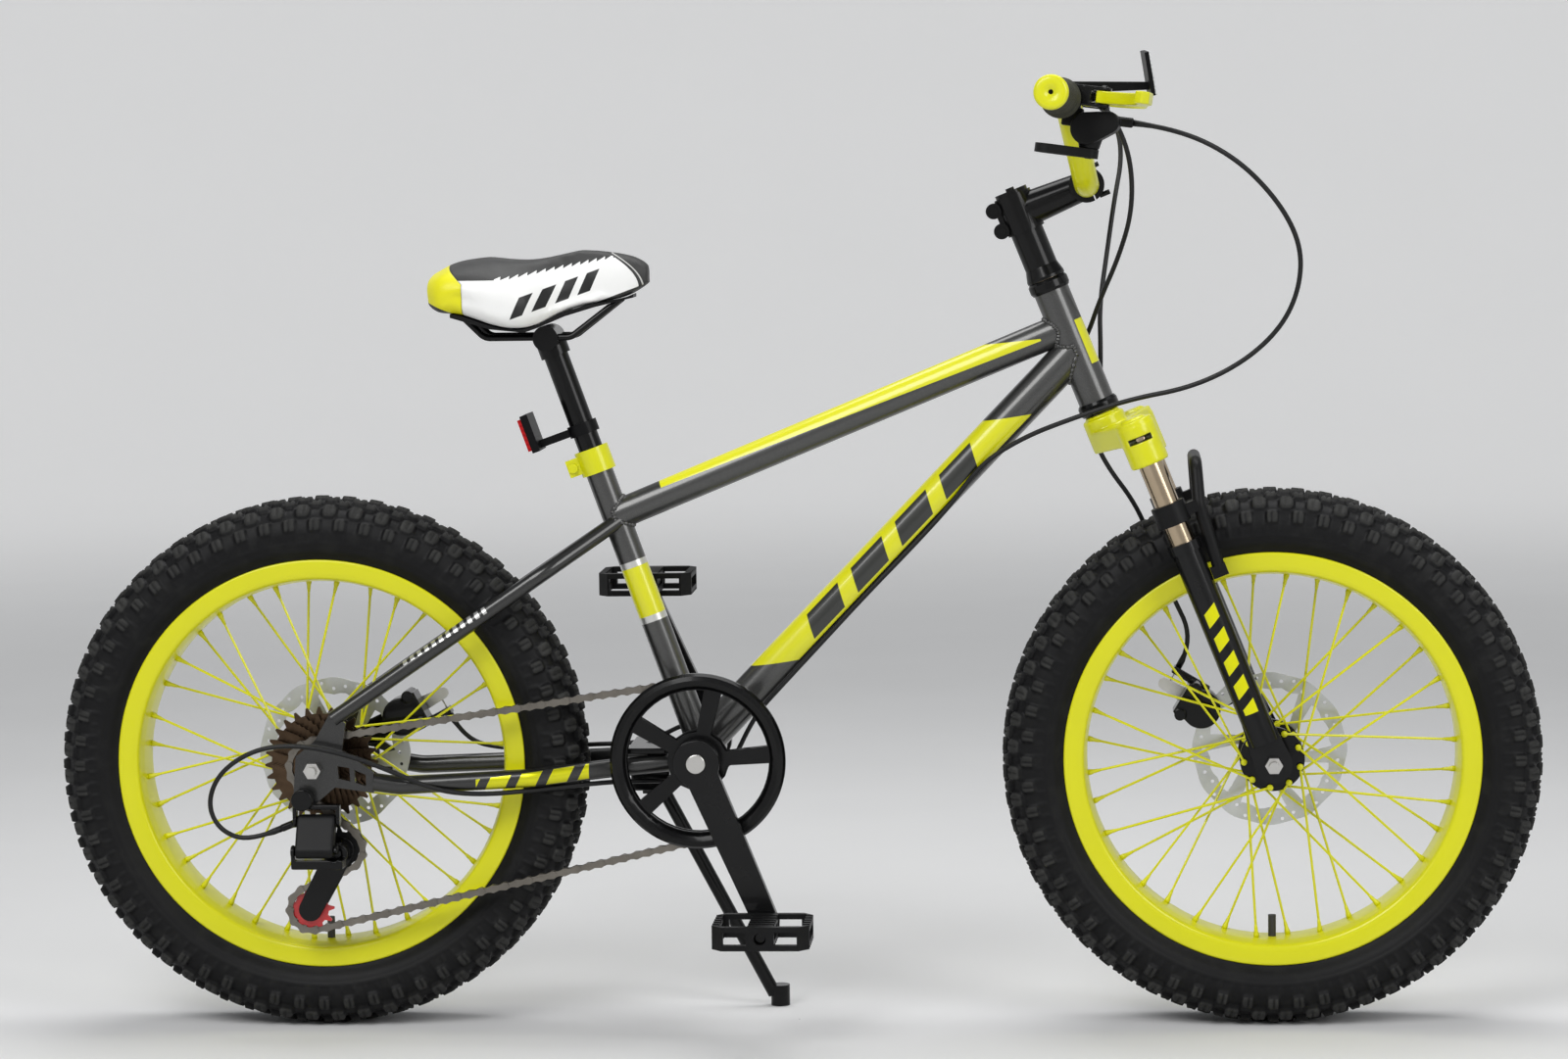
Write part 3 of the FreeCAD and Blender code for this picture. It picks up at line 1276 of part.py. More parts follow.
def flat(point):
    return complex(point.x, point.z)


def straight_run(start, end):
    """Tangent run between two stops: its two end points."""
    (here, here_radius, here_turn), (there, there_radius, there_turn) = start, end
    gap = flat(there) - flat(here)
    share = (here_radius * here_turn - there_radius * there_turn) / abs(gap)
    side = gap / abs(gap) * complex(share, -math.sqrt(1 - share * share))
    return flat(here) + here_radius * here_turn * side, flat(there) + there_radius * there_turn * side


def chain_points():
    """Evenly spaced joint places along the closed chain path."""
    runs = [straight_run(chain_stops[i], chain_stops[(i + 1) % 4]) for i in range(4)]
    pieces = []
    for i, run in enumerate(runs):
        pieces.append(("run", run[0], run[1], abs(run[1] - run[0])))
        centre, radius, turn = chain_stops[(i + 1) % 4]
        arrive = run[1] - flat(centre)
        leave = runs[(i + 1) % 4][0] - flat(centre)
        sweep = (math.atan2(leave.imag, leave.real)
                 - math.atan2(arrive.imag, arrive.real)) * turn % (2 * math.pi)
        pieces.append(("arc", flat(centre), arrive, radius * sweep, turn / radius))
    total = sum(piece[3] for piece in pieces)
    links = 2 * round(total / s.chain_pitch / 2)
    points = []
    for k in range(links):
        rest = k * total / links
        for piece in pieces:
            if rest <= piece[3]:
                break
            rest -= piece[3]
        if piece[0] == "run":
            points.append(piece[1] + (piece[2] - piece[1]) * rest / piece[3])
        else:
            turn = rest * piece[4]
            points.append(piece[1] + piece[2] * complex(math.cos(turn), math.sin(turn)))
    print("chain links", links, "pitch", round(total / links, 3))
    return points


def chain_shape(points):
    """Link plates in pairs, inner and outer by turns, with a roller at each joint."""
    parts = []
    count = len(points)
    for k in range(count):
        here = points[k]
        step = points[(k + 1) % count] - here
        angle = math.degrees(math.atan2(step.imag, step.real))
        offset = 2.9 if k % 2 == 0 else 1.75
        height = 8.2 if k % 2 == 0 else 7.6
        place = moved(here.real, -s.chain_line, here.imag, Rotation(Y_AXIS, -angle).multiply(TO_RIGHT))
        for side in (1, -1):
            corner = Vector(-3.6, -height / 2, side * offset - (1 if side == -1 else 0))
            plate = Part.makeBox(abs(step) + 7.2, height, 1, corner)
            plate.Placement = place
            parts.append(plate)
        roller = Part.makeBox(5.6, 5.6, 3.4, Vector(-2.8, -2.8, -1.7))
        roller.Placement = place
        parts.append(roller)
    return Part.Compound(parts)


links = chain_points()
node("chain", feature("chain_links", chain_shape(links)))


def seat_phase(centre, radius):
    """Angle of a joint that lies on a toothed wheel, so that its gaps line up with the chain."""
    on_wheel = [p - flat(centre) for p in links if abs(abs(p - flat(centre)) - radius) < 0.4]
    middle = on_wheel[len(on_wheel) // 2]
    return math.atan2(middle.imag, middle.real)


def toothed_disc(teeth, thickness, phase, bore, root_depth=4.5, tip=2.4):
    """A sprocket plate with a gap at the phase angle and a blunt tooth between gaps."""
    radius = pitch_radius(teeth)
    corners = []
    for k in range(int(teeth)):
        for share, reach in ((-0.2, radius - root_depth), (0.2, radius - root_depth), (0.42, radius + tip),
                             (0.58, radius + tip)):
            angle = phase + (k + share) * 2 * math.pi / teeth
            corners.append(Vector(reach * math.cos(angle), reach * math.sin(angle), 0))
    plate = Part.Face(Part.makePolygon(corners + corners[:1])).extrude(Vector(0, 0, thickness))
    plate.translate(Vector(0, 0, -thickness / 2))
    return plate.cut(Part.makeCylinder(bore, 3 * thickness, Vector(0, 0, -1.5 * thickness)))


def sprocket_cluster():
    """Seven sprockets on one carrier sleeve that turns on the hub."""
    bore = s.hub_radius + s.running_fit
    low = s.chain_line - (len(SPROCKET_TEETH) - 1) * s.sprocket_pitch - s.sprocket_thickness
    sleeve = Part.makeCylinder(s.carrier_radius, s.chain_line + 1 - low, Vector(0, 0, low))
    phase = seat_phase(rear_axle, pitch_radius(SPROCKET_TEETH[-1]))
    plates = []
    for k, teeth in enumerate(SPROCKET_TEETH):
        plate = toothed_disc(teeth, s.sprocket_thickness, phase, bore)
        plate.translate(Vector(0, 0, s.chain_line - (len(SPROCKET_TEETH) - 1 - k) * s.sprocket_pitch))
        plates.append(plate)
    sleeve = sleeve.cut(Part.makeCylinder(bore, 200, Vector(0, 0, -100)))
    return sleeve.fuse(plates).removeSplitter()


node("sprocket_cluster", feature("sprocket_plates", sprocket_cluster(), REAR_WHEEL))


def window_corners(low, high, count):
    """Corners of one window between the arms of a spoked plate."""
    half = 180 / count
    inner = half - 14
    outer = half - 7
    shares = [k / 4 for k in range(-4, 5)]
    corners = [(f"({low}) * cos({inner * k}deg)", f"({low}) * sin({inner * k}deg)") for k in (1, 0, -1)]
    corners += [(f"({high}) * cos({outer * k}deg)", f"({high}) * sin({outer * k}deg)") for k in shares]
    return corners


def chainring():
    teeth = s.chainring_teeth
    phase = seat_phase(crank_centre, pitch_radius(teeth))
    plate = toothed_disc(teeth, s.sprocket_thickness, phase, s.spider_radius + s.running_fit)
    count = int(s.window_count)
    low = s.spider_radius + 8
    high = pitch_radius(teeth) - 8.5
    points = [Vector(*(float(sheet.evalExpression(e)) for e in corner), -5)
              for corner in window_corners(low, high, count)]
    window = Part.Face(Part.makePolygon(points + points[:1])).extrude(Vector(0, 0, 10))
    for k in range(count):
        copy = window.copy()
        copy.rotate(Vector(), Z_AXIS, s.crank_angle + 360 * (k + 0.5) / count)
        plate = plate.cut(copy)
    return plate


node("chainring", feature("chainring_plate", chainring(), CRANK * moved(0, 0, s.chain_line)))


def guard_outline(sketch):
    circle_outline(sketch, "sizes.guard_radius")
    circle_outline(sketch, "sizes.spider_radius + sizes.running_fit")


guard = padded("guard_plate", guard_outline, "sizes.guard_thickness",
               CRANK * moved(0, 0, s.guard_place, Rotation(Z_AXIS, s.crank_angle + 180 / s.window_count)),
               lambda sketch: closed_outline(sketch,
                                             window_corners("sizes.spider_radius + 6",
                                                            "sizes.guard_radius - 17", s.window_count)),
               int(s.window_count))
guard_rim = turned("guard_rim", [
    ("sizes.guard_radius - 16", "0"), ("sizes.guard_radius", "0"), ("sizes.guard_radius", "4"),
    ("sizes.guard_radius - 2.5", "7.5"), ("sizes.guard_radius - 7", "9"), ("sizes.guard_radius - 12", "7.5"),
    ("sizes.guard_radius - 16", "3.5"),
], CRANK * moved(0, 0, s.guard_place))
node("chain_guard", union("guard_with_rim", guard, guard_rim))


# Crankset: spindle, arms with pedal axles, end bolts

CRANK_ARM = Rotation(Z_AXIS, s.crank_angle)
pin_reach = s.pedal_gap + s.pedal_width - 8
right_arm = arm("right_arm_bar", s.crank_hub_radius, s.crank_end_radius, s.crank_length, s.crank_thickness,
                CRANK * moved(0, 0, s.crank_inner, CRANK_ARM), [(0, s.spindle_radius + s.running_fit)])
left_arm = arm("left_arm_bar", s.crank_hub_radius, s.crank_end_radius, s.crank_length, s.crank_thickness,
               CRANK * moved(0, 0, -s.crank_inner - s.crank_thickness, Rotation(Z_AXIS, s.crank_angle + 180)),
               [(0, s.spindle_radius + s.running_fit)])
boss_low = s.shell_half_length + 7
spider = ring("spider_boss", "sizes.spider_radius", "sizes.spindle_radius + sizes.running_fit",
              f"sizes.crank_inner + sizes.crank_thickness - {boss_low}", CRANK * moved(0, 0, boss_low))
left_boss = ring("left_boss", "sizes.crank_boss_radius", "sizes.spindle_radius + sizes.running_fit",
                 "sizes.crank_thickness", CRANK * moved(0, 0, -s.crank_inner - s.crank_thickness))
spindle_half = s.crank_inner + s.crank_thickness - 2
spindle = rod("spindle", "sizes.spindle_radius", 2 * spindle_half, CRANK * moved(0, 0, -spindle_half))
crank_pieces = [union("right_arm", right_arm, spider), union("left_arm", left_arm, left_boss), spindle]
crank_face = s.crank_inner + s.crank_thickness
for i, (side, turn) in enumerate(((1, 0), (-1, 180))):
    out = Rotation() if side == 1 else FLIP
    crank_pieces.append(rod(f"crank_bolt_{i}", 10, 3, CRANK * moved(0, 0, side * crank_face, out)))
    arm_turn = moved(0, 0, 0, Rotation(Z_AXIS, s.crank_angle + turn))
    end = CRANK * arm_turn * moved(s.crank_length, 0, side * crank_face, out)
    crank_pieces.append(rod(f"pedal_pin_{i}", "sizes.pedal_pin_radius", pin_reach, end))
node("crankset", group("crankset_pieces", *crank_pieces))


# Pedals: a cage of thin rails round a barrel, with grip notches across its upper and lower faces

def pedal_outline(sketch):
    half = "sizes.pedal_length / 2"
    width = "sizes.pedal_width"
    closed_outline(sketch, [
        (half, "-12"), (f"{half} - 10", "0"), (f"10 - {half}", "0"), (f"-{half}", "-12"),
        (f"-{half}", f"12 - {width}"),
        (f"10 - {half}", f"-{width}"), (f"{half} - 10", f"-{width}"), (half, f"12 - {width}"),
    ])


def pedal(label, side, turn):
    angle = math.radians(s.crank_angle + turn)
    centre = crank_centre + Vector(s.crank_length * math.cos(angle), 0, s.crank_length * math.sin(angle))
    inner = s.crank_inner + s.crank_thickness + s.pedal_gap
    place = moved(centre.x, -inner if side == 1 else inner + s.pedal_width, centre.z)
    half = s.pedal_length / 2
    width = s.pedal_width
    height = s.pedal_height
    cage = padded(label + "_cage", pedal_outline, "sizes.pedal_height", place * moved(0, 0, -height / 2))
    openings = [block(label + "_waist", 2 * half + 2, width - 30, 11,
                      place * moved(-half - 1, 15 - width, -5.5))]
    for i, (x, end_x) in enumerate(((7 - half, 12 - half), (13, 14))):
        openings.append(block(f"{label}_window_{i}", half - 20, width - 16, height + 2,
                              place * moved(x, 8 - width, -height / 2 - 1)))
        openings.append(block(f"{label}_end_window_{i}", half - 26, width + 2, height - 11,
                              place * moved(end_x, -width - 1, 5.5 - height / 2)))
    for i in range(5):
        notch_y = 14 - width + i * (width - 35) / 4
        for k, notch_z in enumerate((height / 2 - 2.5, -height / 2 - 1)):
            openings.append(block(f"{label}_notch_{i}_{k}", 2 * half + 2, 7, 3.5,
                                  place * moved(-half - 1, notch_y, notch_z)))
    barrel = rod(label + "_barrel", 11, "sizes.pedal_width", place * moved(0, 0, 0, TO_RIGHT))
    bore = rod(label + "_bore", "sizes.pedal_pin_radius + sizes.running_fit", "sizes.pedal_width + 2",
               place * moved(0, 1, 0, TO_RIGHT))
    frame = cut(label + "_frame", cage, *openings)
    return node(label, cut(label + "_bored", union(label + "_body", frame, barrel), bore))


pedal("pedal_right", 1, 0)
pedal("pedal_left", -1, 180)


# Derailleur: hanger knuckle, swinging link, lower knuckle, sprung cage and two pulleys

HANGER = REAR_WHEEL * moved(s.hanger_x, -s.hanger_drop, s.rear_dropout + s.dropout_thickness + s.seat_gap)
link_high = Vector(rear_axle.x + s.link_x, -s.rear_dropout - 15, rear_axle.z - s.hanger_drop - 22)
lean = math.radians(s.link_lean)
link_low = link_high + Vector(0, -s.link_length * math.sin(lean), -s.link_length * math.cos(lean))
ear_half = s.link_width / 2 + s.seat_gap


def ears(name, centre, thickness=4):
    """Two ears and their pin along X, either side of a link."""
    low = Placement(centre - Vector(ear_half + thickness, 0, 0), TO_FRONT)
    high = Placement(centre + Vector(ear_half, 0, 0), TO_FRONT)
    return [rod(name + "_rear_ear", "sizes.link_radius", thickness, low),
            rod(name + "_front_ear", "sizes.link_radius", thickness, high),
            rod(name + "_pin", "sizes.link_pin_radius", 2 * (ear_half + thickness), low)]


hanger_knuckle = rod("hanger_knuckle", "sizes.knuckle_radius", 18, HANGER)
neck_top = rear_axle.z - s.hanger_drop - s.knuckle_radius + 3
necks = [block(f"hanger_neck_{i}", 4, 12, neck_top - link_high.z,
               moved(link_high.x + x, link_high.y - 6, link_high.z))
         for i, x in enumerate((-ear_half - 4, ear_half))]
hanger_bridge = block("hanger_bridge", 2 * ear_half + 8, 12, 5,
                      moved(link_high.x - ear_half - 4, link_high.y - 6, neck_top - 2))
barrel_root = link_high - Vector(ear_half + 2, 0, 2)
barrel_turn = Rotation(Y_AXIS, -112)
barrel_out = barrel_turn.multVec(Z_AXIS)
barrel_tube = rod("cable_barrel", 4, 16, Placement(barrel_root, barrel_turn))
derailleur_barrel = barrel_root + barrel_out * 16.1
node("derailleur_body", union("hanger_set", hanger_knuckle, hanger_bridge, barrel_tube, *necks,
                              *ears("upper", link_high)))

swing = arm("swing_link", s.link_radius, s.link_radius - 0.01, s.link_length, s.link_width, HERE,
            [(0, s.link_pin_radius + s.running_fit), (s.link_length, s.link_pin_radius + s.running_fit)])
swing.Placement = Placement(link_high - Vector(s.link_width / 2, 0, 0), Rotation(
    Vector(0, -math.sin(lean), -math.cos(lean)), Vector(0, math.cos(lean), -math.sin(lean)), X_AXIS, "XYZ"))
node("derailleur_link", swing)

cage_half = s.cage_inner_gap / 2
cage_outer = s.chain_line + cage_half + s.cage_thickness
CAGE = Placement(guide_centre, TO_RIGHT)
knuckle_low = cage_outer + s.seat_gap
knuckle_high = -link_low.y - 2 * s.link_radius - 0.5
lower_knuckle = ring("lower_knuckle", "sizes.knuckle_radius", "sizes.axle_radius + sizes.running_fit",
                     knuckle_high - knuckle_low, CAGE * moved(0, 0, knuckle_low))
bridge_low = link_low.z - s.link_radius - 11
bridge_start = link_low.x - ear_half - 4
bridge_length = max(2 * ear_half + 8, guide_centre.x + s.knuckle_radius - 2 - bridge_start)
knuckle_bridge = block("knuckle_bridge", bridge_length, 23, 9.5,
                       moved(bridge_start, link_low.y - 4, bridge_low))
knuckle_necks = [block(f"knuckle_neck_{i}", 4, 8, link_low.z - bridge_low,
                       moved(link_low.x + x, link_low.y - 4, bridge_low))
                 for i, x in enumerate((-ear_half - 4, ear_half))]
node("derailleur_knuckle", cut("knuckle_bored",
                               union("knuckle_body", lower_knuckle, knuckle_bridge, *knuckle_necks,
                               *ears("lower", link_low)),
                               rod("knuckle_bore", "sizes.axle_radius + sizes.running_fit", 200, CAGE)))

cage_drop = tension_centre - guide_centre
cage_length = cage_drop.Length
cage_turn = math.degrees(math.atan2(cage_drop.z, cage_drop.x))
cage_pieces = []
for i, place in enumerate((s.chain_line + cage_half, s.chain_line - cage_half - s.cage_thickness)):
    cage_pieces.append(arm(f"cage_plate_{i}", s.cage_radius, s.cage_radius - 2, cage_length, s.cage_thickness,
                           CAGE * moved(0, 0, place, Rotation(Z_AXIS, cage_turn))))
cage_pin_low = s.chain_line - cage_half - s.cage_thickness
cage_pieces.append(rod("cage_pivot", "sizes.axle_radius", knuckle_high - cage_pin_low + 2,
                       CAGE * moved(0, 0, cage_pin_low)))
cage_pieces.append(rod("tension_pin", 4, cage_outer - cage_pin_low,
                       Placement(tension_centre, TO_RIGHT) * moved(0, 0, cage_pin_low)))
node("derailleur_cage", union("cage_set", *cage_pieces))


def pulley(label, centre, pin):
    """A toothed jockey wheel with a wide hub."""
    radius = pitch_radius(s.pulley_teeth)
    wheel_plate = toothed_disc(s.pulley_teeth, s.sprocket_thickness, seat_phase(centre, radius),
                               pin + s.running_fit, 4.4, 1.6)
    width = s.cage_inner_gap - 2 * s.seat_gap
    core = Part.makeCylinder(pin + 4, width, Vector(0, 0, -width / 2)).cut(
        Part.makeCylinder(pin + s.running_fit, width + 2, Vector(0, 0, -width / 2 - 1)))
    return node(label, feature(label + "_wheel", wheel_plate.fuse(core).removeSplitter(),
                               Placement(centre, TO_RIGHT) * moved(0, 0, s.chain_line)))


pulley("guide_pulley", guide_centre, s.axle_radius)
pulley("tension_pulley", tension_centre, 4)


# Disc brakes: a caliper that straddles the disc, its pads, and a swinging arm

def caliper(end, axle_place, angle, disc_seat, mount, arm_angle):
    """The left-hand caliper of one wheel; mount(place) adds the bracket that bolts it on."""
    place = axle_place * moved(0, 0, 0, Rotation(Z_AXIS, angle))
    middle = -disc_seat - s.disc_thickness / 2
    low = middle - s.caliper_outboard
    start = s.caliper_place - s.caliper_radial / 2
    depth = "sizes.caliper_outboard + sizes.caliper_inboard"
    drum = s.caliper_width / 2 - 3
    casting = [
        rod(f"{end}_caliper_drum", drum, depth, place * moved(start + drum, 0, low)),
        block(f"{end}_caliper_bridge", s.caliper_radial - drum, 2 * drum - 6, depth,
              place * moved(start + drum, 3 - drum, low)),
    ]
    casting += [rod(f"{end}_caliper_bolt_{i}", 6, f"{depth} + 3",
                    place * moved(s.caliper_place + 14, y, low - 2))
                for i, y in enumerate((-16, 16))]
    slot_half = s.disc_thickness / 2 + s.pad_thickness + s.seat_gap
    slot = block(f"{end}_caliper_slot", s.disc_radius + 3 - start + 1, "sizes.caliper_width + 2",
                 2 * slot_half,
                 place * moved(start - 1, -s.caliper_width / 2 - 1, middle - slot_half))
    boss = rod(f"{end}_caliper_boss", "sizes.arm_hub_radius + 3", 3,
               place * moved(s.caliper_place, 0, low - 3))
    pin = rod(f"{end}_caliper_pin", 4, 14, place * moved(s.caliper_place, 0, low - 12))
    tip = s.caliper_place + s.arm_length - 4
    plane = low - 3 - s.seat_gap - s.arm_thickness / 2
    edge = -s.caliper_width / 2
    stop = union(f"{end}_cable_stop", block(f"{end}_stop_bar", s.arm_length, 8, 8,
                                            place * moved(s.caliper_place, edge, low)),
                 block(f"{end}_stop_lug", 9, 8, low + 8 - plane + 5,
                       place * moved(tip - 4.5, edge, plane - 5)))
    pieces = [cut(f"{end}_caliper_body", union(f"{end}_caliper_union", *casting, boss, pin, stop,
                                               *mount(place, low)), slot)]
    for i, height in enumerate((middle - slot_half, middle + slot_half - s.pad_thickness)):
        pieces.append(block(f"{end}_pad_{i}", 15, 20, "sizes.pad_thickness",
                            place * moved(start + 4, -10, height)))
    node(f"{end}_caliper", group(f"{end}_caliper_set", *pieces))
    swing_arm = arm(f"{end}_arm_bar", s.arm_hub_radius, s.arm_tip_radius, s.arm_length, s.arm_thickness,
                    place * moved(s.caliper_place, 0, low - 3 - s.seat_gap - s.arm_thickness,
                                  Rotation(Z_AXIS, arm_angle)),
                    [(0, 4 + s.running_fit)])
    node(f"{end}_caliper_arm", swing_arm)
    return [place.multVec(Vector(tip, y, plane)) for y in (edge - 0.1, edge + 8.1, -s.arm_tip_radius - 0.4)]


def front_mount(place, low):
    foot = block("front_mount_foot", 60, 16, 12, STEER * moved(-30, s.leg_spread - 16, 56))
    space = rod("front_mount_space", "sizes.leg_radius + sizes.running_fit", 100,
                STEER * moved(s.fork_offset, s.leg_spread, 20))
    return [cut("front_mount", foot, space)]


def rear_mount(place, low):
    tab = arm("rear_mount", 13, 12, 20, s.rear_dropout + low,
              place * moved(40, 0, -s.rear_dropout + s.seat_gap))
    return [tab]


front_stop = caliper("front", FRONT_WHEEL, s.front_caliper_angle, s.front_disc_seat, front_mount, 0)
rear_stop = caliper("rear", REAR_WHEEL, s.rear_caliper_angle, s.rear_disc_seat, rear_mount, 0)


# Kickstand: a bracket under the chain stays, and a leg with a rubber foot on a cross pin

stand_pivot = Vector(s.stand_x, s.stand_y, s.stand_z)
stand_foot = Vector(s.stand_foot_x, s.stand_foot_y, 0)


def stay_height(x):
    """Height of the chain stays' middle line near the stand."""
    front, back = chain_stay_points[:2]
    return front.z + (back.z - front.z) * (x - front.x) / (back.x - front.x)


bracket_top = stay_height(s.stand_x - 20) - s.chain_stay_radius - s.seat_gap
plate_low = stay_height(s.stand_x + 20) + s.chain_stay_radius + s.seat_gap
stand_block = union(
    "stand_block",
    block("stand_lower", 40, s.stand_y + 2, 20, moved(s.stand_x - 20, -12, bracket_top - 20)),
    block("stand_cheek", 26, 12, 24, moved(s.stand_x - 13, s.stand_y - 22, s.stand_z - 14)),
    rod("stand_bolt", 4, plate_low + 8 - bracket_top, moved(s.stand_x, 0, bracket_top - 1)),
    block("stand_upper", 40, 94, 6, moved(s.stand_x - 20, -47, plate_low)),
    rod("stand_pin", "sizes.stand_pin_radius", 32, moved(s.stand_x, s.stand_y + 12, s.stand_z, TO_RIGHT)),
)
node("kickstand_bracket", stand_block)
eye = rod("stand_eye", "sizes.stand_eye_radius", 18, moved(s.stand_x, s.stand_y + 9, s.stand_z, TO_RIGHT))
leg_end = stand_foot + (stand_pivot - stand_foot).normalize() * 14
shank = rod("stand_shank", "sizes.stand_radius", (leg_end - stand_pivot).Length, along(stand_pivot, leg_end))
foot_pad = rod("stand_foot_pad", "sizes.foot_radius", 22, moved(stand_foot.x, stand_foot.y, 0))
stand_bore = rod("stand_bore", "sizes.stand_pin_radius + sizes.running_fit", 60,
                 moved(s.stand_x, s.stand_y + 30, s.stand_z, TO_RIGHT))
node("kickstand_leg", cut("stand_leg", union("stand_leg_body", eye, shank, foot_pad), stand_bore))


# Cables: rear brake, gear and front brake housings, each with the bare wire that leaves its end

tube_along = (down_end - down_start).normalize()
tube_below = Vector(tube_along.z, 0, -tube_along.x)


def under_down_tube(distance, side, spare=0.4):
    """A place on the underside of the down tube, at a distance from the crank, side mm to the left."""
    clear = s.down_tube_radius + s.cable_radius + s.seat_gap + spare
    drop = math.sqrt(clear ** 2 - side ** 2)
    return down_start + tube_along * distance + tube_below * drop + Vector(0, side, 0)


def offsets(origin, *rows):
    return [origin + Vector(*row) for row in rows]


def bare_wire(name, start, end):
    return between(name, 0.8, start, end)


head_low = on_steer(0, 0, s.fork_length)
stay_bend = chain_stay_points[2]
left_bend = Vector(stay_bend.x, -stay_bend.y, stay_bend.z)
left_barrel = Vector(right_barrel.x, -right_barrel.y, right_barrel.z)
left_out = Vector(hand_out.x, -hand_out.y, hand_out.z)


def into_stop(stop):
    """The last two places of a brake housing: in line with its stop, then against it."""
    return [stop[0] + (stop[0] - stop[1]).normalize() * 32, stop[0]]


rear_brake_route = [
    right_barrel,
    right_barrel - hand_out * 25,
    *offsets(right_barrel, (22, 47, -22), (37, 67, -62), (38, 92, -113)),
    *offsets(head_low, (24, -22, 146), (4, 12, 101), (-10, 34, 60), (-34, 38, 31)),
    *(under_down_tube(*place) for place in ((482, 21), (430, 17), (370, 15), (305, 16), (240, 15), (175, 16),
                                            (115, 17))),
    *offsets(crank_centre, (38, 27, 38), (10, 33, 30), (-22, 43, 24), (-50, 53, 9), (-78, 57, 1)),
    *offsets(left_bend, (48, -6, 17), (0, 2, 13.5), (-48, 6, 10.5)),
    *into_stop(rear_stop),
]
node("rear_brake_cable", group("rear_brake_set", cable("rear_brake", rear_brake_route),
                               bare_wire("rear_brake_wire", *rear_stop[1:])))

front_brake_route = [
    left_barrel,
    left_barrel - left_out * 25,
    *offsets(left_barrel, (22, -48, -22), (29, -68, -58), (20, -84, -104)),
    *offsets(head_low, (12, 52, 148), (4, 42, 95), (5, 37, 50), (4, 37, 8)),
    on_steer(-18, 34, 378), on_steer(-17, 36, 338), on_steer(-4, 47, 288), on_steer(-4, 57, 240),
    on_steer(-6, 62, 190),
    *into_stop(front_stop),
]
node("front_brake_cable", group("front_brake_set", cable("front_brake", front_brake_route),
                                bare_wire("front_brake_wire", *front_stop[1:])))

tube_side = under_down_tube(417, -20)
gear_route = [
    shift_barrel,
    shift_barrel + hand_ahead * 42,
    *offsets(shift_barrel, (99, 10, -34), (142, 32, -78), (165, 48, -122), (164, 58, -165),
             (146, 66, -205), (108, 74, -240), (56, 82, -265)),
    *offsets(tube_side, (152, -35, 66), (92, -25, 46), (44, -10, 27), (0, 0, 0)),
    *(under_down_tube(*place) for place in ((365, -15), (305, -14), (240, -15), (175, -14), (112, -13),
                                            (66, -12))),
    *offsets(crank_centre, (27, -12, -18), (-12, -15, -28), (-45, -30, -26), (-95, -45, -24.5)),
    *offsets(stay_bend, (0, 0, -12.8), (-56, -8, -16.5), (-100, -21, -10)),
    *offsets(rear_axle, (83, -93, 0), (39, -98, 18), (-11, -101, 29), (-56, -100, 25), (-94, -98, 1),
             (-108, -95, -32),
             (-97, -92, -60)),
    derailleur_barrel + barrel_out * 36,
    derailleur_barrel,
]
node("gear_cable", cable("gear", gear_route))


# Check every piece, then write it

doc.recompute()
for item in doc.Objects:
    if "Invalid" in item.State or "Error" in item.State:
        raise RuntimeError(f"{item.Name} failed: {item.State}")
for label, item in nodes.items():
    if item.Shape.isNull() or not item.Shape.isValid():
        raise RuntimeError(f"{label} has no valid shape")
os.makedirs("parts", exist_ok=True)
for label, item in nodes.items():
    item.Shape.exportStep(f"parts/{label}.step")
print(len(nodes), "pieces written")
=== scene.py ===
import json
import math

import bmesh
import bpy
import numpy as np
from mathutils import Matrix


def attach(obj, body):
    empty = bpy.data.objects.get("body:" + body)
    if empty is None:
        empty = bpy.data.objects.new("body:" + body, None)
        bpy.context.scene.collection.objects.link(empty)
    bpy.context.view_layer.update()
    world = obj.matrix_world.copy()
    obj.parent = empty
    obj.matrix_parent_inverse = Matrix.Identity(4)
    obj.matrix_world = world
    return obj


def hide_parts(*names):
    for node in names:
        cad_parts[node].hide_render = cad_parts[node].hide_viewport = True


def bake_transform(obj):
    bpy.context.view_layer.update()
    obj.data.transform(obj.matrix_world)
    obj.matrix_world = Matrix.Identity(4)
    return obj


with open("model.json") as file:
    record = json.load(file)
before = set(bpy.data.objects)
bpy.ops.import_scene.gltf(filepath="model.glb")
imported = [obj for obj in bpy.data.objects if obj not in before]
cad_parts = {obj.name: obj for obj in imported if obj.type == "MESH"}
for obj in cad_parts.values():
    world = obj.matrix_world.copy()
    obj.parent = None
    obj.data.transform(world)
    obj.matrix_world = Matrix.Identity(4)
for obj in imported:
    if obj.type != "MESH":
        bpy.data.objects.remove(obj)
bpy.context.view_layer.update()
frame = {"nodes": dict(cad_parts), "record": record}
node = frame["nodes"]
carrier = {name: body for body, names in frame["record"]["behaviour"]["bodies"].items() for name in names}


# Studio: a round floor of pale paper swept up into a wall, three large soft lamps, and the camera standing
# off the bike's right side, a little ahead of it and above the top tube.

def shade_smooth(mesh, smooth=True):
    mesh.polygons.foreach_set("use_smooth", np.full(len(mesh.polygons), smooth))


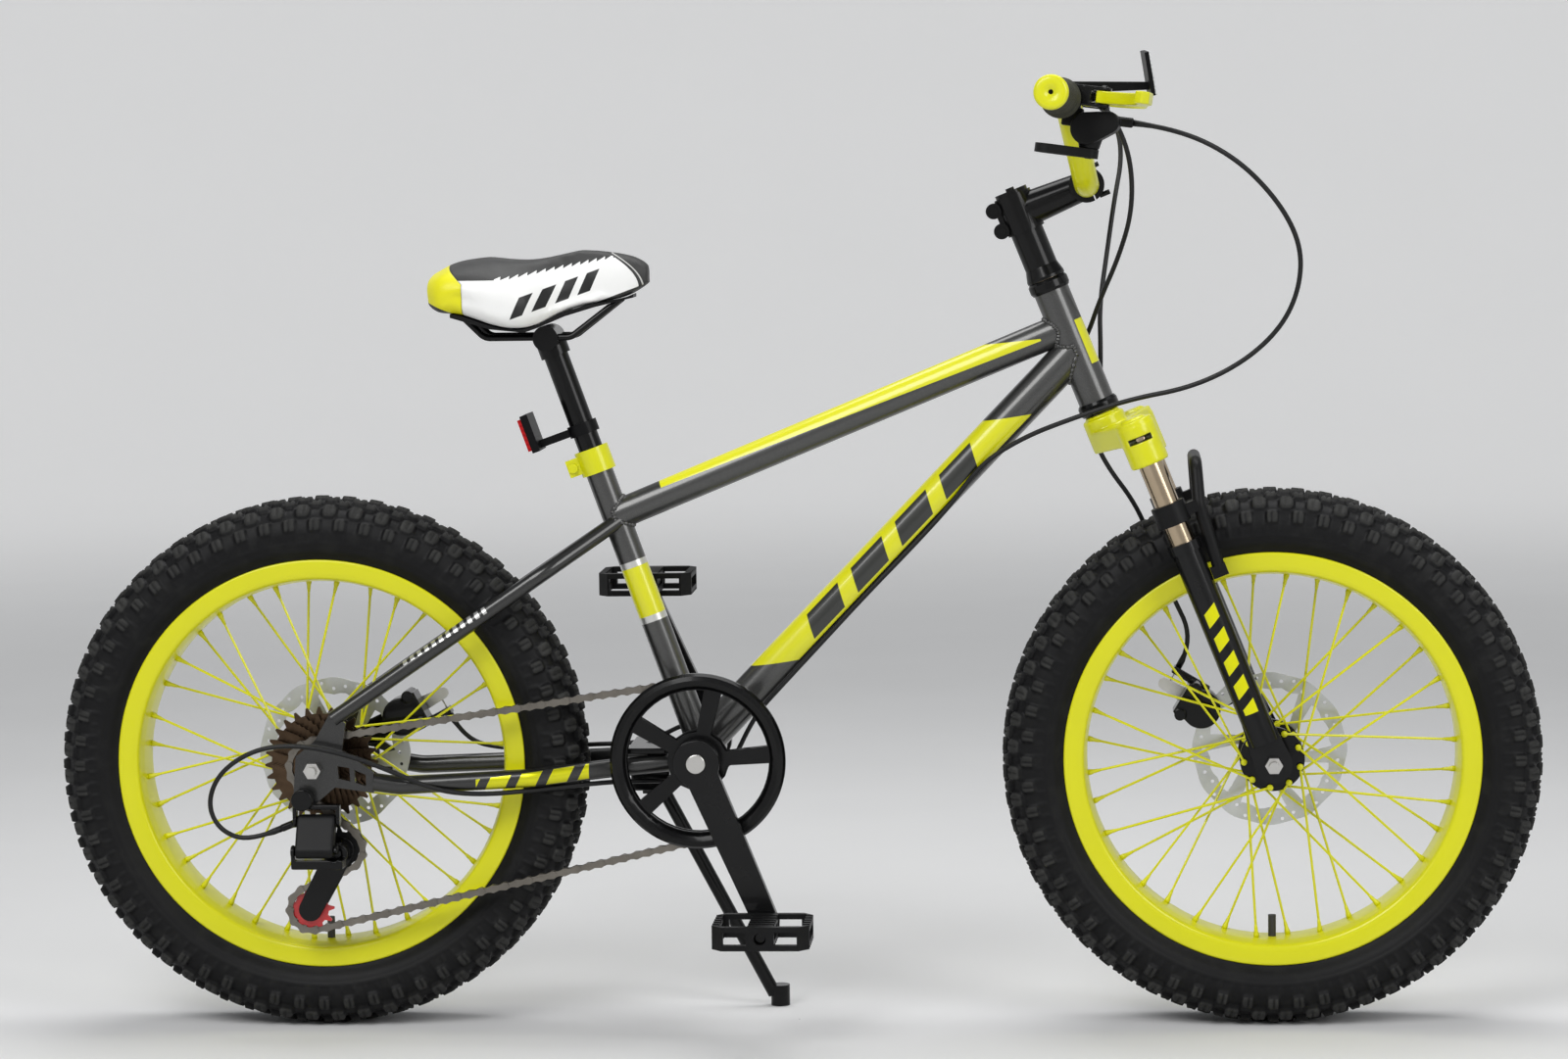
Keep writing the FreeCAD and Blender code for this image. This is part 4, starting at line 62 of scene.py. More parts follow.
def grid_mesh(points, wrap_u=False, wrap_v=False):
    """Quads over grids of points: rows follow u, columns follow v, and either may close on itself. A fourth
    leading axis holds many like grids."""
    rows, cols = points.shape[-3:-1]
    u, v = np.meshgrid(np.arange(rows - (not wrap_u)), np.arange(cols - (not wrap_v)), indexing="ij")
    next_u, next_v = (u + 1) % rows, (v + 1) % cols
    quads = np.stack([u * cols + v, next_u * cols + v, next_u * cols + next_v, u * cols + next_v], axis=-1)
    quads = quads[None] + (np.arange(points.size // (3 * rows * cols)) * rows * cols)[:, None, None, None]
    mesh = bpy.data.meshes.new("grid")
    mesh.from_pydata(points.reshape(-1, 3).tolist(), [], quads.reshape(-1, 4).tolist())
    shade_smooth(mesh)
    return mesh


class Value:
    """A shader value: sums, products and comparisons of values add Math nodes to their finish."""

    def __init__(self, finish, socket):
        self.finish = finish
        self.socket = socket

    def math(self, operation, first, second=0.0):
        return self.finish.add("ShaderNodeMath", {"operation": operation}, {0: first, 1: second})

    def __add__(self, other):
        return self.math("ADD", self, other)

    def __sub__(self, other):
        return self.math("SUBTRACT", self, other)

    def __rsub__(self, other):
        return self.math("SUBTRACT", other, self)

    def __mul__(self, other):
        return self.math("MULTIPLY", self, other)

    def __truediv__(self, other):
        return self.math("DIVIDE", self, other)

    def __gt__(self, other):
        return self.math("GREATER_THAN", self, other)

    def __lt__(self, other):
        return self.math("LESS_THAN", self, other)

    def __abs__(self):
        return self.math("ABSOLUTE", self)

    __radd__ = __add__
    __rmul__ = __mul__


class Finish:
    """A procedural material on one Principled shader, patterned by the piece's own coordinates."""

    def __init__(self, name, **sockets):
        self.material = bpy.data.materials.new(name)
        self.material.use_nodes = True
        self.tree = self.material.node_tree
        self.shader = self.tree.nodes["Principled BSDF"]
        self.where = self.add("ShaderNodeTexCoord", {}, {}, output="Object")
        self.set(**sockets)

    def feed(self, socket, value):
        if isinstance(value, Value):
            self.tree.links.new(value.socket, socket)
        else:
            socket.default_value = value

    def add(self, kind, settings, inputs, output=0):
        made = self.tree.nodes.new(kind)
        for key, setting in settings.items():
            setattr(made, key, setting)
        for key, value in inputs.items():
            self.feed(made.inputs[key], value)
        return Value(self, made.outputs[output])

    def set(self, **sockets):
        for key, value in sockets.items():
            self.feed(self.shader.inputs[key.replace("_", " ").title().replace("Ior", "IOR")], value)
        return self

    def mix(self, share, low, high):
        return self.add("ShaderNodeMix", {"data_type": "RGBA"}, {0: share, 6: low, 7: high}, output=2)

    def rise(self, value, low, high):
        """0 below low, 1 above high and a smooth step between them."""
        return self.add("ShaderNodeMapRange", {"interpolation_type": "SMOOTHSTEP"},
                        {0: value, 1: low, 2: high})

    def vector(self, operation, first, second=(0.0, 0.0, 0.0), output=0):
        return self.add("ShaderNodeVectorMath", {"operation": operation}, {0: first, 1: tuple(second)},
                        output)

    def noise(self, scale, detail=2.0, stretch=None):
        place = self.vector("MULTIPLY", self.where, stretch) if stretch else self.where
        return self.add("ShaderNodeTexNoise", {}, {"Vector": place, "Scale": scale, "Detail": detail})

    def mottle(self, low, high, scale, detail=3.0):
        """Two tones that drift into each other."""
        return self.mix(self.noise(scale, detail), low, high)

    def along(self, direction, origin=(0.0, 0.0, 0.0)):
        """Distance from origin along a direction, in metres."""
        return self.vector("DOT_PRODUCT", self.vector("SUBTRACT", self.where, origin), direction, "Value")

    def away(self, direction, origin):
        """Distance from the line through origin along a unit direction, in metres."""
        across = self.vector("CROSS_PRODUCT", self.vector("SUBTRACT", self.where, origin), direction)
        return self.vector("LENGTH", across, output="Value")

    def bump(self, height, depth, strength=1.0):
        """Relief of the given depth in metres."""
        relief = self.add("ShaderNodeBump", {}, {"Height": height, "Distance": depth, "Strength": strength})
        return self.set(normal=relief)


def grey(level):
    return (level, level, level, 1)


def full_turn(count):
    """Evenly spaced angles round a circle, in radians."""
    return np.linspace(0, 2 * math.pi, count, endpoint=False)


def placed(name, data):
    """A new object in the scene, and its data, under one name."""
    data.name = name
    made = bpy.data.objects.new(name, data)
    bpy.context.collection.objects.link(made)
    return made


FLAT_RINGS, FLOOR_RADIUS, SWEEP_RADIUS, WALL_TOP = (0.001, 2.0, 4.0), 6.5, 2.0, 5.0
GLOW_FROM, GLOW_TO = 2.0, 7.0
sweep = np.linspace(0, math.pi / 2, 17)
floor_r = np.concatenate([FLAT_RINGS, FLOOR_RADIUS + SWEEP_RADIUS * np.sin(sweep),
                          [FLOOR_RADIUS + SWEEP_RADIUS]])
floor_z = np.concatenate([np.zeros(len(FLAT_RINGS)), SWEEP_RADIUS * (1 - np.cos(sweep)), [WALL_TOP]])
around = full_turn(96)[:, None]
floor_points = np.stack(np.broadcast_arrays(floor_r * np.cos(around), floor_r * np.sin(around), floor_z),
                        axis=-1)
floor = placed("studio_floor", grid_mesh(floor_points, True))
paper = Finish("studio_paper", roughness=0.9, emission_strength=1.0)
seen = sum(paper.add("ShaderNodeLightPath", {}, {}, output=f"Is {kind} Ray")
           for kind in ("Camera", "Glossy", "Transmission"))
far_out = paper.rise(paper.away((0, 0, 1), (0, 0, 0)), GLOW_FROM, GLOW_TO)
paper.set(base_color=paper.mottle(grey(0.70), grey(0.74), 3.0, 4.0),
          emission_color=paper.mix(far_out * seen, grey(0.0), grey(0.40)))
floor.data.materials.append(paper.material)

world = bpy.data.worlds.new("studio_air")
world.use_nodes = True
world.node_tree.nodes["Background"].inputs["Color"].default_value = (0.93, 0.96, 1.0, 1)
world.node_tree.nodes["Background"].inputs["Strength"].default_value = 0.24
bpy.context.scene.world = world


def unit(*vector):
    return np.array(vector, dtype=float) / np.linalg.norm(vector)


def place_matrix(origin, x_axis, y_axis, z_axis):
    """The transform that lays the three axes along given directions, from a given origin."""
    columns = np.eye(4)
    columns[:3] = np.column_stack([x_axis, y_axis, z_axis, origin])
    return Matrix(columns.tolist())


def soft_lamp(name, place, target, size, power):
    """A rectangular lamp at a place, turned to face a target."""
    lamp = bpy.data.lights.new(name, "AREA")
    lamp.shape = "RECTANGLE"
    lamp.size, lamp.size_y = size
    lamp.energy = power
    aim = unit(*(np.array(target) - np.array(place)))
    side = unit(*np.cross(aim, (0, 0, 1)))
    placed(name, lamp).matrix_world = place_matrix(place, side, np.cross(side, aim), -aim)


soft_lamp("lamp_key", (-1.6, -3.0, 3.2), (0, 0, 0.45), (2.6, 2.0), 106)
soft_lamp("lamp_front", (2.6, -2.4, 2.2), (0.2, 0, 0.45), (1.6, 2.2), 52)
soft_lamp("lamp_top", (0.2, 0.7, 3.4), (0, 0, 0.5), (3.2, 1.4), 66)

PHOTO_WIDTH = 1600
FOCAL_PIXELS = 4496.75
EYE = np.array([0.32747, -4.50383, 0.91629])
YAW, PITCH, ROLL = -0.0744265, -0.0894853, -0.0150039
forward = np.array([math.sin(YAW) * math.cos(PITCH), math.cos(YAW) * math.cos(PITCH), math.sin(PITCH)])
level = np.array([math.cos(YAW), -math.sin(YAW), 0.0])
upright = np.cross(level, forward)
right = level * math.cos(ROLL) + upright * math.sin(ROLL)
top = upright * math.cos(ROLL) - level * math.sin(ROLL)
lens = bpy.data.cameras.new("photo_camera")
lens.sensor_fit = "HORIZONTAL"
lens.sensor_width = 36.0
lens.lens = lens.sensor_width * FOCAL_PIXELS / PHOTO_WIDTH
lens.clip_end = 50.0
camera = placed("photo_camera", lens)
camera.matrix_world = place_matrix(EYE, right, top, -forward)
bpy.context.scene.camera = camera
bpy.context.scene.view_settings.view_transform = "Standard"


# Frame: steel tubes welded into a front triangle, with bent stays and plate dropouts welded on behind. It is
# sprayed dark gunmetal under clear lacquer, and fluorescent yellow film panels lie on the main tubes.

MM = 0.001
CRANK = np.array([-0.095, 0.0, 0.281])
REAR_AXLE = np.array([-0.489, 0.0, 0.275])
FRONT_AXLE = np.array([0.489, 0.0, 0.275])
SEAT_UP = np.array([-0.33381, 0.0, 0.94264])
STEER_UP = np.array([-0.36975, 0.0, 0.92913])
STEER_AHEAD = np.array([0.92913, 0.0, 0.36975])
STEER_FOOT = np.array([0.462984, 0.0, 0.264647])
LEFT = np.array([0.0, 1.0, 0.0])
YELLOW = (0.70, 0.69, 0.002, 1)
GUNMETAL = (0.062, 0.062, 0.061, 1)
GUNMETAL_LIGHT = (0.115, 0.114, 0.110, 1)
DECAL_DARK = (0.012, 0.013, 0.010, 1)
DECAL_SILVER = (0.62, 0.62, 0.60, 1)
LACQUER = {"metallic": 0.75, "coat_weight": 0.5, "coat_roughness": 0.08}
DOWN_TUBE, TOP_TUBE, SEAT_TUBE, HEAD_TUBE, SHELL = 0.0190, 0.0159, 0.0143, 0.0183, 0.0200


def on_steer(ahead, left, up):
    return STEER_FOOT + (STEER_AHEAD * ahead + LEFT * left + STEER_UP * up) * MM


def wear_finish(finish, base, low, high):
    """Roughness that drifts a little over the piece, and the faint orange peel of sprayed lacquer."""
    drift = finish.noise(9.0, 3.0)
    finish.set(base_color=base, roughness=drift * (high - low) + low)
    return finish.bump(finish.noise(700.0, 1.0), 0.00004, 0.35)


def coated(name, low, high, scale, detail, smooth, rough, **sockets):
    """A worn finish in two drifting tones."""
    finish = Finish(name, **sockets)
    return wear_finish(finish, finish.mottle(low, high, scale, detail), smooth, rough)


def flaked(finish, shade=1.0):
    """Dark paint in which metal flakes catch the light; a shade below one darkens both tones, a painted
    shade.
    """
    low, high = [(*(shade * part for part in tone[:3]), 1) for tone in (GUNMETAL, GUNMETAL_LIGHT)]
    return finish.mix(finish.rise(finish.noise(2400.0, 1.0), 0.45, 0.75), low, high)


def sawtooth(value, pitch):
    """Rises from 0 to 1 over each pitch."""
    return value.math("FRACT", value / pitch)


def band(finish, value, low, high, soft=0.0004):
    """1 between two places and 0 outside them."""
    return finish.rise(value, low - soft, low + soft) * (1 - finish.rise(value, high - soft, high + soft))


def steer_places(finish):
    """Distances up the steering axis and ahead of it, from its foot."""
    return finish.along(STEER_UP, STEER_FOOT), finish.along(STEER_AHEAD, STEER_FOOT)


DOWN_LIFT = 0.007
DOWN_TOP = on_steer(0, 0, 461)
TOP_START = CRANK + SEAT_UP * 0.261
TOP_END = on_steer(0, 0, 486)
down_lean = unit(*(DOWN_TOP - CRANK))
DOWN_FOOT = CRANK + np.array([-down_lean[2], 0, down_lean[0]]) * DOWN_LIFT
down_dir = unit(*(DOWN_TOP - DOWN_FOOT))
top_dir = unit(*(TOP_END - TOP_START))
down_norm = np.array([-down_dir[2], 0, down_dir[0]])
top_norm = np.array([-top_dir[2], 0, top_dir[0]])

DOWN_PANEL, PANEL_SLANT, PANEL_LOW = (0.124, 0.472), 1.28, -0.0125
BAR_STARTS, BAR_WIDTH, BAR_LEAN, BAR_SPAN = (0.172, 0.238, 0.304, 0.370), 0.046, 0.55, (-0.0095, 0.0135)
TOP_STRIPE, STRIPE_LOW, STRIPE_TAPER, STRIPE_LEAN, STRIPE_TIP = (0.056, 0.474), 0.0105, 0.028, 3.4, 0.472
SEAT_BAND, SEAT_EDGES, HEAD_BADGE, BADGE_FRONT = (0.1525, 0.2050), (0.1455, 0.2115), (0.442, 0.490), 0.0105
SEAT_WELD, DOWN_CLEAR = 0.02, 0.021
paint = Finish("gunmetal_frame_paint", **LACQUER)
down_place = paint.along(down_dir, DOWN_FOOT)
down_height = paint.along(down_norm, DOWN_FOOT)
off_down = down_height > DOWN_CLEAR
down_panel = band(paint, down_place + down_height * PANEL_SLANT, *DOWN_PANEL)
down_panel = down_panel * (down_height > PANEL_LOW)
down_panel = down_panel * (paint.away(down_dir, DOWN_FOOT) < DOWN_TUBE + 0.0012)
bar_place = down_place - down_height * BAR_LEAN
bars = sum(band(paint, bar_place, start, start + BAR_WIDTH) for start in BAR_STARTS)
bars = bars * down_panel * band(paint, down_height, *BAR_SPAN)
top_place = paint.along(top_dir, TOP_START)
top_height = paint.along(top_norm, TOP_START)
on_top = (paint.away(top_dir, TOP_START) < TOP_TUBE + 0.0009) * (top_place > SEAT_WELD) * off_down
top_stripe = band(paint, top_place, *TOP_STRIPE) * (top_height > STRIPE_LOW - top_place * STRIPE_TAPER)
top_stripe = top_stripe * on_top * (top_place + top_height * STRIPE_LEAN < STRIPE_TIP)
seat_place = paint.along(SEAT_UP, CRANK)
on_seat_tube = (paint.away(SEAT_UP, CRANK) < SEAT_TUBE + 0.0009) * off_down
seat_band = band(paint, seat_place, *SEAT_BAND) * on_seat_tube
seat_edges = band(paint, seat_place, *SEAT_EDGES) * on_seat_tube
on_head = paint.away(STEER_UP, STEER_FOOT) < HEAD_TUBE + 0.0010
badge_up, badge_ahead = steer_places(paint)
head_badge = band(paint, badge_up, *HEAD_BADGE) * on_head * (badge_ahead > BADGE_FRONT)
yellow_share = (down_panel + top_stripe + seat_band + head_badge) > 0.5
colour = paint.mix(seat_edges, flaked(paint), DECAL_SILVER)
colour = paint.mix(yellow_share, colour, YELLOW)
colour = paint.mix(bars, colour, DECAL_DARK)
wear_finish(paint, colour, 0.26, 0.36)
paint.set(metallic=0.75 - yellow_share * 0.75)

CHAIN_DASHES, CHAIN_DASH_PITCH, CHAIN_DASH_SPAN = (-0.322, -0.208), 0.030, (0.2555, 0.2705)
SEAT_DASHES, SEAT_DASH_PITCH, SEAT_DASH_SPAN = (0.0, 0.105), 0.0088, (-0.0035, 0.0035)
SEAT_DASH_START, STAY_LEAN, STAY_PAINTED_SHADE = (-0.399, 0.0, 0.383), unit(0.090, 0.0, 0.055), 0.5
stay_paint = Finish("gunmetal_stay_paint", **LACQUER)
stay_x, stay_z = stay_paint.along((1, 0, 0)), stay_paint.along((0, 0, 1))
on_right = stay_paint.along(LEFT) < -0.04
chain_dash = band(stay_paint, stay_x, *CHAIN_DASHES)
chain_dash = chain_dash * (sawtooth(stay_x - stay_z * 0.5, CHAIN_DASH_PITCH) > 0.34)
chain_dash = chain_dash * band(stay_paint, stay_z - (stay_x + 0.265) * 0.11, *CHAIN_DASH_SPAN)
stay_run = stay_paint.along(STAY_LEAN, SEAT_DASH_START)
stay_height = stay_paint.along((-STAY_LEAN[2], 0, STAY_LEAN[0]), SEAT_DASH_START)
seat_dash = band(stay_paint, stay_run, *SEAT_DASHES) * (sawtooth(stay_run, SEAT_DASH_PITCH) > 0.45)
seat_dash = seat_dash * band(stay_paint, stay_height, *SEAT_DASH_SPAN)
# The stays wear the frame's gunmetal at half brightness: painted shade that keeps the rear triangle darker
# than the front one.
stay_colour = stay_paint.mix(chain_dash * (stay_z < 0.30) * on_right, flaked(stay_paint, STAY_PAINTED_SHADE), YELLOW)
stay_colour = stay_paint.mix(seat_dash * on_right * (stay_z > 0.36), stay_colour, DECAL_SILVER)
wear_finish(stay_paint, stay_colour, 0.26, 0.36)


def wear(name, finish):
    """Give a CAD node its finish."""
    node[name].data.materials.clear()
    node[name].data.materials.append(finish.material)


wear("front_triangle", paint)
wear("rear_triangle", stay_paint)


def shown(name, mesh, finish, replaced):
    """A mesh put into the scene in one finish, in place of any CAD nodes that are named."""
    mesh.materials.clear()
    mesh.materials.append(finish.material)
    piece = placed(name, mesh)
    if replaced:
        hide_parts(*replaced)
    return piece


def dress(name, mesh, finish, body, replaced=()):
    """A piece that rides on one body."""
    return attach(shown(name, mesh, finish, replaced), body)


def joined(meshes, seam=1e-6, flat=None, turn=True):
    """One mesh from several: points nearer than seam are welded, faces within an angle of flat are merged
    where it is given, and faces are turned outwards."""
    work = bmesh.new()
    for mesh in meshes:
        work.from_mesh(mesh)
    bmesh.ops.remove_doubles(work, verts=work.verts, dist=seam)
    if flat:
        bmesh.ops.dissolve_limit(work, angle_limit=math.radians(flat), verts=work.verts, edges=work.edges)
    if turn:
        bmesh.ops.recalc_face_normals(work, faces=work.faces)
    merged = bpy.data.meshes.new("joined")
    work.to_mesh(merged)
    work.free()
    return merged


def unit_rows(vectors):
    """Each row of an array brought to a length of one."""
    return vectors / np.linalg.norm(vectors, axis=1)[:, None]


def carried(path, radii, sides=10, closed=False, hint=None):
    """A round section carried along a path: each ring is the path point plus radius times a turning unit
    vector, square to the path; hint is a direction that the path never runs along."""
    path = np.asarray(path, dtype=float)
    ahead = unit_rows(np.roll(path, -1, 0) - np.roll(path, 1, 0) if closed else np.gradient(path, axis=0))
    if hint is None:
        hint = np.eye(3)[abs(ahead).max(0).argmin()]
    side = unit_rows(np.cross(ahead, hint))
    rise = np.cross(side, ahead)
    angle = full_turn(sides)
    ring = np.cos(angle)[None, :, None] * side[:, None, :] + np.sin(angle)[None, :, None] * rise[:, None, :]
    return path[:, None, :] + np.broadcast_to(radii, (len(path),))[:, None, None] * ring


def capped(points):
    """Close the two ends of a carried section by drawing its last rings in to their centres."""
    first, last = [np.broadcast_to(ring.mean(0), ring.shape)[None] for ring in (points[0], points[-1])]
    return np.concatenate([first, points, last])


def weld_bead(start, direction, radius, post, post_dir, post_radius, ripples):
    """The rippled seam where a tube meets a thicker post: the tube's wall lines run on to the post's wall,
    and a small round bead with even ripples lies along the curve of their ends."""
    turns = full_turn(8 * ripples)
    u = unit(*np.cross(direction, LEFT))
    wall = start + radius * (np.cos(turns)[:, None] * u + np.sin(turns)[:, None] * np.cross(direction, u))
    flat = direction - post_dir * (direction @ post_dir)
    offset = wall - post
    offset = offset - np.outer(offset @ post_dir, post_dir)
    a, b, c = flat @ flat, 2 * offset @ flat, (offset ** 2).sum(1) - post_radius ** 2
    reach = (-b - np.sqrt(np.maximum(b * b - 4 * a * c, 0))) / (2 * a)
    path = wall + reach[:, None] * direction
    size = 0.0021 + 0.0005 * np.sin(turns * ripples)
    return grid_mesh(carried(path, size, 8, True, direction), True, True)


beads = [weld_bead(*seam) for seam in (
    (TOP_END - top_dir * 0.2, top_dir, TOP_TUBE, STEER_FOOT, STEER_UP, HEAD_TUBE, 34),
    (DOWN_TOP - down_dir * 0.2, down_dir, DOWN_TUBE, STEER_FOOT, STEER_UP, HEAD_TUBE, 40),
    (TOP_START + top_dir * 0.2, -top_dir, TOP_TUBE, CRANK, SEAT_UP, SEAT_TUBE, 34),
    (CRANK + SEAT_UP * 0.1, -SEAT_UP, SEAT_TUBE, CRANK, LEFT, SHELL, 30),
    (DOWN_FOOT + down_dir * 0.1, -down_dir, DOWN_TUBE, CRANK, LEFT, SHELL, 40))]
bead_paint = Finish("gunmetal_bead_paint", **LACQUER).set(coat_roughness=0.1)
wear_finish(bead_paint, flaked(bead_paint), 0.28, 0.38)
dress("frame_weld_beads", joined(beads), bead_paint, "frame")


# Wheels: fat knobbly tires moulded in black rubber, on deep rims rolled from strip and enamelled yellow.
# Wire spokes lace each rim to a black hub, and a stamped and drilled steel disc is bolted to the hub's left.

def polar(radius, angle):
    """Flat points at a radius and an angle."""
    return np.stack([radius * np.cos(angle), radius * np.sin(angle)], axis=-1)


def on_wheel(radius, angle, width):
    """Points of a wheel at the origin: radius and angle round the axle, width to its right, in mm."""
    return np.stack(np.broadcast_arrays(radius * np.cos(angle), -width, radius * np.sin(angle)), axis=-1) * MM


def distance_along(path):
    """The distance walked along a path to each of its points."""
    return np.concatenate([[0], np.cumsum(np.linalg.norm(np.diff(path, axis=0), axis=1))])


def smooth_line(corners, count):
    """A Catmull-Rom line through corners, sampled at count even steps of its length."""
    points = np.asarray(corners, dtype=float)
    ends = np.vstack([2 * points[0] - points[1], points, 2 * points[-1] - points[-2]])
    share = np.linspace(0, 1, 24, endpoint=False)[:, None]
    spans = []
    for k in range(len(points) - 1):
        p0, p1, p2, p3 = ends[k:k + 4]
        spans.append(0.5 * (2 * p1 + (p2 - p0) * share + (2 * p0 - 5 * p1 + 4 * p2 - p3) * share ** 2
                            + (3 * p1 - p0 - 3 * p2 + p3) * share ** 3))
    line = np.vstack(spans + [points[-1:]])
    walked = distance_along(line)
    return np.stack([np.interp(np.linspace(0, walked[-1], count), walked, line[:, k]) for k in range(2)],
                    axis=1)


def smoothstep(value, low, high):
    share = np.clip((value - low) / (high - low), 0, 1)
    return share * share * (3 - 2 * share)


def tire_mesh(centre, pitches=60, steps=14):
    """A round carcass section turned about the axle and pushed out along its own normal by a field of knobs:
    each row is a run of rounded blocks, a fixed distance from the crown and evenly spaced round the tire."""
    crown, tread_top, bead, bead_half = 269.0, 275.0, 206.0, 30.0
    half = smooth_line([(crown, 0), (268.6, 15), (265.5, 29.5), (258.5, 40), (249, 45.6), (238, 47.4),
                        (224, 44.4), (213, 36.6), (203, 33.6)], 52)
    section = np.vstack([half[::-1] * [1, -1], half[1:]])
    place = distance_along(section)
    place -= place[-1] / 2
    slope = np.gradient(section, axis=0)
    normal = unit_rows(np.stack([slope[:, 1], -slope[:, 0]], axis=1))
    angle = full_turn(pitches * steps)
    count = angle * pitches / (2 * math.pi)
    pitch = 2 * math.pi * crown / pitches
    relief = np.zeros((len(angle), len(place)))
    rows = ((8.5, 6.6, 7.6, 0.0, 6.0), (24.0, 5.2, 6.0, 0.5, 5.6), (38.5, 7.0, 7.4, 0.05, 5.6),
            (54.0, 6.4, 6.6, 0.52, 4.2))
    rib_from, rib_to, rib_height = 60, 69, 1.2
    wall_lines = ((72.5, 1.3, 1.1), (99, 1.6, 1.0))
    for side in (-1, 1):
        across = side * place[None]
        for middle, half_width, half_length, phase, height in rows:
            shift = phase + (0.5 if side < 0 and middle < 10 else 0.0)
            run = ((count + shift) % 1 - 0.5) * pitch
            far = (np.abs(run[:, None] / half_length) ** 5
                   + np.abs((across - middle) / half_width) ** 5) ** 0.2
            knob = height * (1 - smoothstep(far, 0.84, 1.12))
            sipe = 1 - 0.45 * (1 - smoothstep(np.abs(run[:, None]), 0.4, 1.6)) * (far < 0.8)
            relief = np.maximum(relief, knob * sipe)
        rib_run = ((count * 2) % 1 - 0.5) * pitch / 2
        rib = rib_height * (1 - smoothstep(np.abs(rib_run[:, None]), 0.6, 1.8))
        relief = np.maximum(relief, rib * ((across > rib_from) & (across < rib_to)))
        line = sum(height * np.exp(-((across - middle) / width) ** 2) for middle, width, height in wall_lines)
        relief = np.maximum(relief, np.broadcast_to(line, relief.shape))
    radius = section[None, :, 0] + relief * normal[None, :, 0]
    width = section[None, :, 1] + relief * normal[None, :, 1]
    inside = np.broadcast_to(np.linspace(bead_half, -bead_half, 4), (len(angle), 4))
    radius = np.concatenate([np.minimum(radius, tread_top), np.full(inside.shape, bead)], axis=1)
    width = np.concatenate([width, inside], axis=1)
    mesh = grid_mesh(on_wheel(radius, angle[:, None], width) + centre, True, True)
    height = np.concatenate([relief, np.zeros(inside.shape)], axis=1)
    mesh.attributes.new("knob_height", "FLOAT", "POINT").data.foreach_set("value", height.reshape(-1) * MM)
    return joined([mesh])


# The knobs' tops are painted lighter, a painted highlight of light from above, and the rubber between them
# darker, a painted shade. Dust drifts over both tones, and the side walls are smoother.
tire_rubber = Finish("tire_rubber", specular_ior_level=0.18)
dust = tire_rubber.rise(tire_rubber.noise(60.0, 6.0), 0.46, 0.72)
fine = tire_rubber.noise(900.0, 3.0)
height = tire_rubber.add("ShaderNodeAttribute", {"attribute_name": "knob_height"}, {}, output="Fac")
# knob picks the knobs' tops: painted light on them, painted shade off them, and rougher rubber on them.
knob = tire_rubber.rise(height, 0.0022, 0.0046)
shaded_dusty_rubber = tire_rubber.mix(dust, (0.004, 0.004, 0.0045, 1), grey(0.009))
lit_dusty_tops = tire_rubber.mix(dust, (0.024, 0.024, 0.023, 1), (0.042, 0.042, 0.040, 1))
tire_rubber.set(base_color=tire_rubber.mix(knob, shaded_dusty_rubber, lit_dusty_tops),
                roughness=0.44 + knob * 0.16 + dust * 0.1 + fine * 0.1)
tire_rubber.bump(fine + tire_rubber.noise(180.0, 2.0) * 0.6, 0.00035, 0.5)

rim_yellow = coated("rim_yellow_enamel", (0.66, 0.65, 0.002, 1), (0.72, 0.71, 0.003, 1), 14.0, 3.0, 0.3, 0.42,
                    coat_weight=0.3, coat_roughness=0.12, specular_ior_level=0.35)


def rim_mesh(centre, segments=180):
    """A closed rim section with rolled lips, turned about the axle."""
    right_side = [(211.6, 35.2), (212.2, 36.6), (211.4, 37.9), (209.8, 38.0), (206, 37.7), (199, 37.0),
                  (194.6, 36.4), (192.6, 35.4), (191.4, 33.6), (190.4, 28), (189.0, 22.6), (188.2, 18)]
    section = np.array(right_side + [(r, -w) for r, w in reversed(right_side)]
                       + [(205, -33.0), (196, -30.5), (193.5, -18), (193.5, 18), (196, 30.5), (205, 33.0)])
    angle = full_turn(segments)
    ring = on_wheel(section[None, :, 0], angle[:, None], section[None, :, 1]) + centre
    return joined([grid_mesh(ring, True, True)])


def stub(start, end, radii, sides=10):
    """A short turned pin from start to end whose radius follows the list radii."""
    share = np.linspace(0, 1, len(radii))[:, None]
    return grid_mesh(capped(carried(start + (end - start) * share, np.array(radii), sides)), False, True)


def nipple_mesh(centre, right_flange):
    """A turned nipple at the rim and a round head at the hub for each spoke of a wheel, at the ends of the
    spokes' own lacing."""
    head_circle, rim_circle, rim_offset, left_flange, flange_half, hop = 29.0, 187.7, 9.0, -30.0, 3.75, 2.2
    k = np.arange(36)
    right_side = k % 2 == 0
    ahead = (k // 2) % 2 == 0
    rim_angle = np.radians(10 * (k + 0.5))
    hub_angle = rim_angle + np.radians(np.where(ahead, 60, -60))
    lift = flange_half + np.where(right_side == ahead, hop, 0)
    place = np.where(right_side, right_flange, left_flange) + lift * np.where(ahead, 1, -1)
    heads = on_wheel(head_circle, hub_angle, place)
    ends = on_wheel(rim_circle, rim_angle, np.where(right_side, rim_offset, -rim_offset))
    pins = []
    for head, end in zip(heads, ends):
        along = unit(*(end - head))
        pins.append(stub(end + along * 0.001, end - along * 0.013, [0.0030, 0.0030, 0.0021, 0.0019, 0.0014]))
        out = np.array([0.0, -1.0 if head[1] < 0 else 1.0, 0.0])
        pins.append(stub(head - out * 0.0014, head + out * 0.0026, [0.0014, 0.0034, 0.0034, 0.0022]))
    mesh = joined(pins)
    mesh.transform(Matrix.Translation(centre.tolist()))
    return mesh


def curve_mesh(curve):
    """The mesh that a curve gives."""
    holder = bpy.data.objects.new(curve.name, curve)
    mesh = bpy.data.meshes.new_from_object(holder)
    bpy.data.objects.remove(holder)
    return mesh


